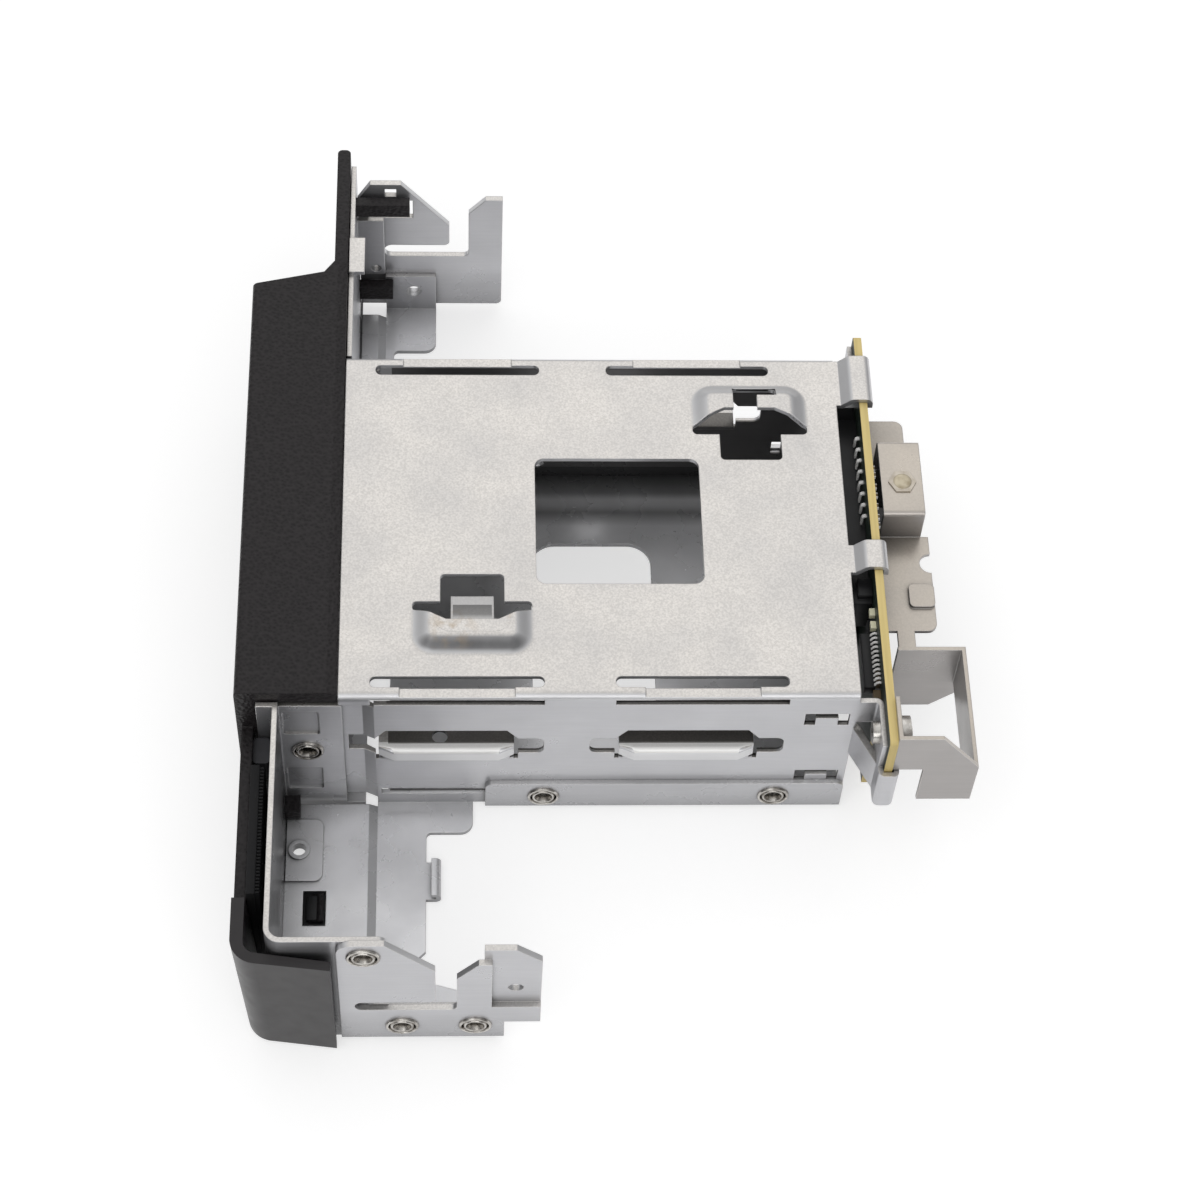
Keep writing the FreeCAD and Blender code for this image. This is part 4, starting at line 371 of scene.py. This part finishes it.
# Painted highlight: near-white, less metallic zinc for the ledge rolls.
HIGHLIGHT_PALE = (0.97, 0.96, 0.94)
TIN = moulded("solder_tin", (0.8, 0.79, 0.77), 0.3)
INSERT = plated("insert_zinc", (0.56, 0.51, 0.44), (0.46, 0.41, 0.34), 0.38)
HIGHLIGHT_ZINC = zinc("painted_highlight_zinc", top=HIGHLIGHT_PALE, floors=HIGHLIGHT_PALE, slopes=HIGHLIGHT_PALE, sides=(0.9, 0.9, 0.91), speckle=0.04,
                metal=0.25)
STRAW = plated("dull_straw", (0.56, 0.5, 0.38), (0.4, 0.34, 0.24), 0.42)
for part in frame["record"]["subparts"]:
    mesh = nodes[part["node"]].data
    mesh.materials.clear()
    mesh.materials.append(INSERT if part["node"] == "hex_insert" else MATERIALS[part["material_slot"]])


# Mesh helpers

def lathe(shape, profile, centre, axis, steps=48):
    """Turn a closed outline of (radius, height) pairs in mm round an axis through a point."""
    side = axis.orthogonal().normalized()
    other = axis.cross(side)
    rings = []
    for step in range(steps):
        turn = 2 * math.pi * step / steps
        out = side * math.cos(turn) + other * math.sin(turn)
        rings.append([shape.verts.new(centre + (out * radius + axis * height) * MM) for radius, height in profile])
    for ring, following in zip(rings, rings[1:] + rings[:1]):
        for here in range(len(profile)):
            after = (here + 1) % len(profile)
            shape.faces.new((ring[here], ring[after], following[after], following[here]))


def ribbon(shape, path, across, width, thick):
    """A flat strip of even width and thickness in mm along a path of points."""
    sections = []
    for index, point in enumerate(path):
        along = (path[min(index + 1, len(path) - 1)] - path[max(index - 1, 0)]).normalized()
        up = along.cross(across).normalized()
        half, lift = across * width / 2 * MM, up * thick / 2 * MM
        corners = (point - half - lift, point + half - lift, point + half + lift, point - half + lift)
        sections.append([shape.verts.new(corner) for corner in corners])
    for first, second in zip(sections, sections[1:]):
        for here in range(4):
            after = (here + 1) % 4
            shape.faces.new((first[here], first[after], second[after], second[here]))
    shape.faces.new(sections[0][::-1])
    shape.faces.new(sections[-1])


def block(shape, low, high, edge):
    """A box between two points with rounded edges, the radius in mm."""
    corners = bmesh.ops.create_cube(shape, size=1.0)["verts"]
    for vert in corners:
        vert.co = Vector([a + (c + 0.5) * (b - a) for a, b, c in zip(low, high, vert.co)])
    sides = list(dict.fromkeys(line for vert in corners for line in vert.link_edges))
    bmesh.ops.bevel(shape, geom=sides, offset=edge * MM, segments=2, profile=0.5, affect="EDGES")


def add_piece(name, shape, slot, material=None, hides=None, closed=True):
    """Make a mesh piece that rides on the part's one body."""
    if closed:
        bmesh.ops.recalc_face_normals(shape, faces=shape.faces)
    mesh = bpy.data.meshes.new(name)
    shape.to_mesh(mesh)
    shape.free()
    mesh.materials.append(material or MATERIALS[slot])
    mesh.shade_smooth()
    mesh.set_sharp_from_angle(angle=math.radians(40))
    piece = bpy.data.objects.new(name, mesh)
    scene.collection.objects.link(piece)
    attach(piece, "root")
    if hides:
        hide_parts(hides)


# Detail pieces, all places and sizes in mm

EYELET_BORE = 1.4
EYELET_BARREL = 2.0
EYELETS = (  # x, y and z of the face that the lip lies on, and the depth of the barrel
    (39.1, -1.0, -35.8, 2.0), (84.4, -1.0, -35.8, 2.0), (-6.3, 0.0, -19.4, 2.0),
    (5.5, -50.6, -5.4, 2.4), (12.0, -50.6, -34.1, 2.4), (25.6, -50.6, -34.1, 2.4),
)
EYELET_LIP = (  # radius and height of the rim, the groove, the flared lip and the cone into the bore
    (3.1, 0.0), (3.1, 0.3), (2.98, 0.46), (2.78, 0.5), (2.6, 0.46), (2.52, 0.3), (2.48, 0.0), (2.3, 0.0),
    (2.2, 0.3), (2.08, 0.46), (1.9, 0.5), (1.74, 0.42), (1.5, -0.2), (EYELET_BORE, -0.6),
)


def add_eyelets():
    """Rolled eyelets that join the sheets."""
    shape = bmesh.new()
    for x, y, z, grip in EYELETS:
        barrel = ((EYELET_BORE, -grip), (EYELET_BARREL, -grip), (EYELET_BARREL, 0.0))
        lathe(shape, EYELET_LIP + barrel, at(x, y, z), Vector((0, -1, 0)))
    add_piece("rolled_eyelets", shape, "nickel", hides="joint_eyelets")


# A boss is measured along u, across its keyhole, and v, away from the plate's middle.
PLATE_MIDDLE = (52.7, 41.1)
BOSS_ORIGIN = (27.6, 19.7)
BOSS_HALF_SPAN = 11.9
BOSS_BACK = 12.4
BOSS_FLAT = (7.1, 7.6)
BOSS_CORNER = 3.6
BOSS_FOOT = 1.2
BOSS_SLOPE = 4.2
BOSS_RISE = 1.995
BOSS_SINK = 0.01
MOUTH_HALF_WIDTH = 5.0
MOUTH_DEPTH = 5.2
MOUTH_SIDE_DEPTH = 1.9
MOUTH_FLARE = (6.4, 3.3)
SLOT_STEM = (-3.2, 1.6)
SLOT_HOOK_END = 5.5
SLOT_HOOK = (8.3, 10.9)
SKIRT_DROP = 0.8


def press_height(u, v):
    """Height of a pressed boss above the plate."""
    across, along = abs(u) - BOSS_FLAT[0], v - BOSS_FLAT[1]
    inside = BOSS_CORNER - min(max(across, along), 0.0) - math.hypot(max(across, 0.0), max(along, 0.0))
    rise = min(max((inside + BOSS_FOOT) / BOSS_SLOPE, 0.0), 1.0)
    return BOSS_RISE * rise * rise * (3 - 2 * rise) - BOSS_SINK


def mouth_edge(u):
    """Where a boss begins beside its keyhole."""
    if abs(u) <= MOUTH_HALF_WIDTH:
        return MOUTH_DEPTH
    width, depth = MOUTH_FLARE
    return max(MOUTH_DEPTH - (abs(u) - MOUTH_HALF_WIDTH) * depth / width, MOUTH_SIDE_DEPTH)


def in_hooked_slot(u, v):
    """Whether a place is in the hooked slot of the far boss."""
    stem_start, stem_end = SLOT_STEM
    hook_start, slot_end = SLOT_HOOK
    return stem_start < u < stem_end and v < slot_end or stem_end < u < SLOT_HOOK_END and hook_start < v < slot_end


def add_skirt(shape):
    """Turn down the open edges of a boss, apart from its foot and its flat top."""
    top = at(0, 0, 0).z
    open_lines = [line for line in shape.edges if line.is_boundary
                  and all(0.1 * MM < vert.co.z - top < 1.97 * MM for vert in line.verts)]
    drop = Vector((0, 0, SKIRT_DROP)) * MM
    lower = {vert: None for line in open_lines for vert in line.verts}
    for vert in lower:
        lower[vert] = shape.verts.new(vert.co - drop)
    for line in open_lines:
        corner = line.link_loops[0]
        first, second = corner.vert, corner.link_loop_next.vert
        shape.faces.new((second, first, lower[first], lower[second]))


def add_boss_presses():
    """Soft slopes of the two pressed bosses, with the hooked slot left open in the far one."""
    rows = 72
    columns = {*SLOT_STEM, SLOT_HOOK_END, -MOUTH_HALF_WIDTH, MOUTH_HALF_WIDTH}
    columns |= {round(0.35 * step - BOSS_HALF_SPAN, 3) for step in range(69)}
    for name, side in (("near_boss_press", -1), ("far_boss_press", 1)):
        shape = bmesh.new()
        grid = []
        for u in sorted(columns):
            mouth = mouth_edge(u)
            column = []
            for row in range(rows + 1):
                v = mouth + (BOSS_BACK - mouth) * row / rows
                x, y = (middle + side * (start + step)
                        for middle, start, step in zip(PLATE_MIDDLE, BOSS_ORIGIN, (u, v)))
                column.append((shape.verts.new(at(x, y, press_height(u, v))), u, v))
            grid.append(column)
        for left, right in zip(grid, grid[1:]):
            for row in range(rows):
                cell = (left[row], right[row], right[row + 1], left[row + 1])
                u, v = (sum(corner[place] for corner in cell) / 4 for place in (1, 2))
                if side < 0 or not in_hooked_slot(u, v):
                    shape.faces.new([corner[0] for corner in cell])
        bmesh.ops.delete(shape, geom=[vert for vert in shape.verts if not vert.link_faces], context="VERTS")
        add_skirt(shape)
        add_piece(name, shape, "zinc_sheet", closed=False)


LEDGES = ((7.2, 33.1), (53.3, 79.2))
ROLL_RADIUS = 1.24
ROLL_CENTRE = (-0.1, -19.2)
ROLL_RUN_OUT = 3.0
WALL_FACE = 0.05


def add_ledge_rolls():
    """Rolls along the outer edge of the near wall's two ledges, run out at both ends, in near-white zinc as a
    painted highlight.
    """
    shape = bmesh.new()
    middle_y, middle_z = ROLL_CENTRE
    section = [(0.9, -17.97)]
    for step in range(9):
        turn = math.radians(90 + 11.25 * step)
        section.append((middle_y + ROLL_RADIUS * math.cos(turn), middle_z + ROLL_RADIUS * math.sin(turn)))
    section.append((-1.34, -21.2))
    spans = 26
    for front, rear in LEDGES:
        rows = []
        for step in range(spans + 1):
            x = front + (rear - front) * step / spans
            share = min(1.0, min(x - front, rear - x) / ROLL_RUN_OUT + 0.03)
            row = ((WALL_FACE + (y - WALL_FACE) * share if y < WALL_FACE else y, z) for y, z in section)
            rows.append([shape.verts.new(at(x, y, z)) for y, z in row])
        for first, second in zip(rows, rows[1:]):
            for here in range(len(section) - 1):
                shape.faces.new((first[here], first[here + 1], second[here + 1], second[here]))
    add_piece("ledge_rolls", shape, "zinc_sheet", HIGHLIGHT_ZINC, closed=False)


def add_gasket():
    """Foam strip with fine upright ribs between the moulding and the front wall."""
    shape = bmesh.new()
    block(shape, at(-16.2, -36.0, -37.0), at(-14.5, -9.0, -9.0), 0.2)
    for index in range(38):
        y = -35.7 + 0.7 * index
        block(shape, at(-14.7, y, -36.6), at(-13.7, y + 0.42, -9.3), 0.12)
    add_piece("ribbed_gasket", shape, "gasket_foam", hides="gasket_strip")


def add_snap_catch():
    """Catch of the moulded cover in the floor's snap hole."""
    shape = bmesh.new()
    block(shape, at(-7.5, -27.6, -40.9), at(-3.1, -20.1, -39.6), 0.1)
    block(shape, at(-6.9, -26.6, -39.7), at(-4.0, -21.2, -38.6), 0.35)
    add_piece("snap_catch", shape, "black_nylon")


def add_insert_face():
    """Dull round end of the blind insert, slightly crowned."""
    shape = bmesh.new()
    profile = ((0.02, 0.0), (0.02, 0.16), (0.9, 0.15), (1.5, 0.1), (1.75, 0.04), (1.8, 0.0))
    lathe(shape, profile, at(109.8, 49.6, -0.2), Vector((0, 0, 1)))
    add_piece("insert_face", shape, "nickel", STRAW)


TAILS = (  # count, first y, pitch, width, thickness and the path in x and z of each row of solder tails
    (8, 43.2, 2.68, 0.7, 0.4, ((102.5, -3.0), (102.15, -2.95), (101.85, -3.15), (101.75, -3.6), (101.75, -5.6))),
    (12, 5.2, 1.0, 0.45, 0.25, ((102.5, -3.4), (102.1, -3.3), (101.7, -3.5), (101.3, -4.3))),
)
CAPACITORS = (  # y and z on the rear of the board
    (40.0, -1.6), (41.8, -1.4), (44.6, -1.7), (46.9, -1.4), (49.2, -1.6), (51.9, -1.5), (53.6, -1.7),
)


def add_tails():
    """Solder tails of the connectors at the board's front."""
    shape = bmesh.new()
    for count, start, pitch, width, thick, path in TAILS:
        for index in range(count):
            points = [at(x, start + pitch * index, z) for x, z in path]
            ribbon(shape, points, Vector((0, 1, 0)), width, thick)
    add_piece("connector_tails", shape, "contact_gold", TIN)


def add_capacitors():
    """Small capacitors with tinned ends on the board's rear."""
    bodies, ends = bmesh.new(), bmesh.new()
    for y, z in CAPACITORS:
        block(bodies, at(104.1, y - 0.35, z - 0.4), at(104.75, y + 0.35, z + 0.4), 0.06)
        for side in (-0.55, 0.35):
            block(ends, at(104.1, y + side, z - 0.42), at(104.8, y + side + 0.2, z + 0.42), 0.05)
    add_piece("rear_capacitors", bodies, "capacitor_tan")
    add_piece("rear_capacitor_ends", ends, "contact_gold", TIN)


def add_header():
    """Header under the short tails, and the stepped block beside it."""
    shape = bmesh.new()
    block(shape, at(99.4, 4.6, -6.4), at(101.5, 16.8, -4.2), 0.2)
    block(shape, at(98.6, 23.8, -13.0), at(102.5, 29.8, -4.6), 0.25)
    block(shape, at(99.6, 24.8, -4.7), at(102.5, 28.8, -3.2), 0.2)
    add_piece("board_header", shape, "black_nylon")


# Camera, floor and light

def add_camera():
    """Camera at the photograph's angle: lens and place solved from the cage's own parallel edges."""
    tilt = math.radians(57.2)
    yaw = math.radians(2.75)
    ahead = Vector((math.sin(yaw), math.cos(yaw) * math.cos(tilt), -math.cos(yaw) * math.sin(tilt)))
    right = Vector((math.cos(yaw), -math.sin(yaw) * math.cos(tilt), math.sin(yaw) * math.sin(tilt)))
    up = right.cross(ahead)
    data = bpy.data.cameras.new("camera")
    data.lens = 87.54
    data.sensor_width = 36.0
    data.clip_start = 0.01
    camera = bpy.data.objects.new("camera", data)
    place = Matrix((right, up, -ahead)).transposed().to_4x4()
    place.translation = Vector((-27.82, -320.09, 508.23)) * MM
    camera.matrix_world = place
    scene.collection.objects.link(camera)
    scene.camera = camera


def seen_directly(tree):
    """1 for camera, glossy and transmission rays, 0 for the light that falls on the object."""
    path = tree.nodes.new("ShaderNodeLightPath")
    seen = path.outputs["Is Camera Ray"]
    for ray in ("Is Glossy Ray", "Is Transmission Ray"):
        either = tree.nodes.new("ShaderNodeMath")
        either.operation = "MAXIMUM"
        tree.links.new(seen, either.inputs[0])
        tree.links.new(path.outputs[ray], either.inputs[1])
        seen = either.outputs[0]
    return seen


def add_floor():
    """White floor that keeps the shadow, brighter where it is seen than where it lights the object."""
    size = 6.0
    level = cad_box[0][2] - 0.00002
    mesh = bpy.data.meshes.new("floor")
    corners = [(-size, -size, level), (size, -size, level), (size, size, level), (-size, size, level)]
    mesh.from_pydata(corners, [], [(0, 1, 2, 3)])
    floor = bpy.data.objects.new("floor", mesh)
    scene.collection.objects.link(floor)
    s = Shader("floor")
    mesh.materials.append(s.finish(
        Base_Color=(0.55, 0.55, 0.55),
        Roughness=1.0,
        Specular_IOR_Level=0.0,
        Emission_Color=(1.0, 1.0, 1.0),
        Emission_Strength=s.math("MULTIPLY", seen_directly(s.tree), 0.6)))


CEILING_LEAN = (-0.1, 0.42, 0.9)
CEILING = ((0.35, 0.25), (0.86, 0.92))
LAMPS = (  # name, place, size in metres and power in watts
    ("key", (-0.4, -0.8, 1.0), 0.9, 2.8),
    ("fill", (0.3, -1.1, 0.7), 0.8, 3.4),
    ("back", (0.1, 0.9, 0.9), 1.0, 1.0),
)


def add_light():
    """A wide soft ceiling that leans back over the part, dark towards the front, with three soft lamps."""
    world = bpy.data.worlds.new("studio")
    world.use_nodes = True
    scene.world = world
    tree = world.node_tree
    around = tree.nodes.new("ShaderNodeTexCoord")
    lean = tree.nodes.new("ShaderNodeVectorMath")
    lean.operation = "DOT_PRODUCT"
    lean.inputs[1].default_value = Vector(CEILING_LEAN).normalized()
    tree.links.new(around.outputs["Generated"], lean.inputs[0])
    ceiling = tree.nodes.new("ShaderNodeValToRGB")
    for element, (place, level) in zip(ceiling.color_ramp.elements, CEILING):
        element.position = place
        element.color = (level, level, level, 1.0)
    tree.links.new(lean.outputs["Value"], ceiling.inputs["Fac"])
    tree.links.new(ceiling.outputs["Color"], tree.nodes["Background"].inputs["Color"])
    for name, place, size, power in LAMPS:
        data = bpy.data.lights.new(name, "AREA")
        data.size = size
        data.energy = power
        lamp = bpy.data.objects.new(name, data)
        lamp.location = place
        lamp.rotation_euler = (-Vector(place)).to_track_quat("-Z", "Y").to_euler()
        scene.collection.objects.link(lamp)


add_eyelets()
add_boss_presses()
add_ledge_rolls()
add_gasket()
add_snap_catch()
add_insert_face()
add_tails()
add_capacitors()
add_header()
add_camera()
add_floor()
add_light()
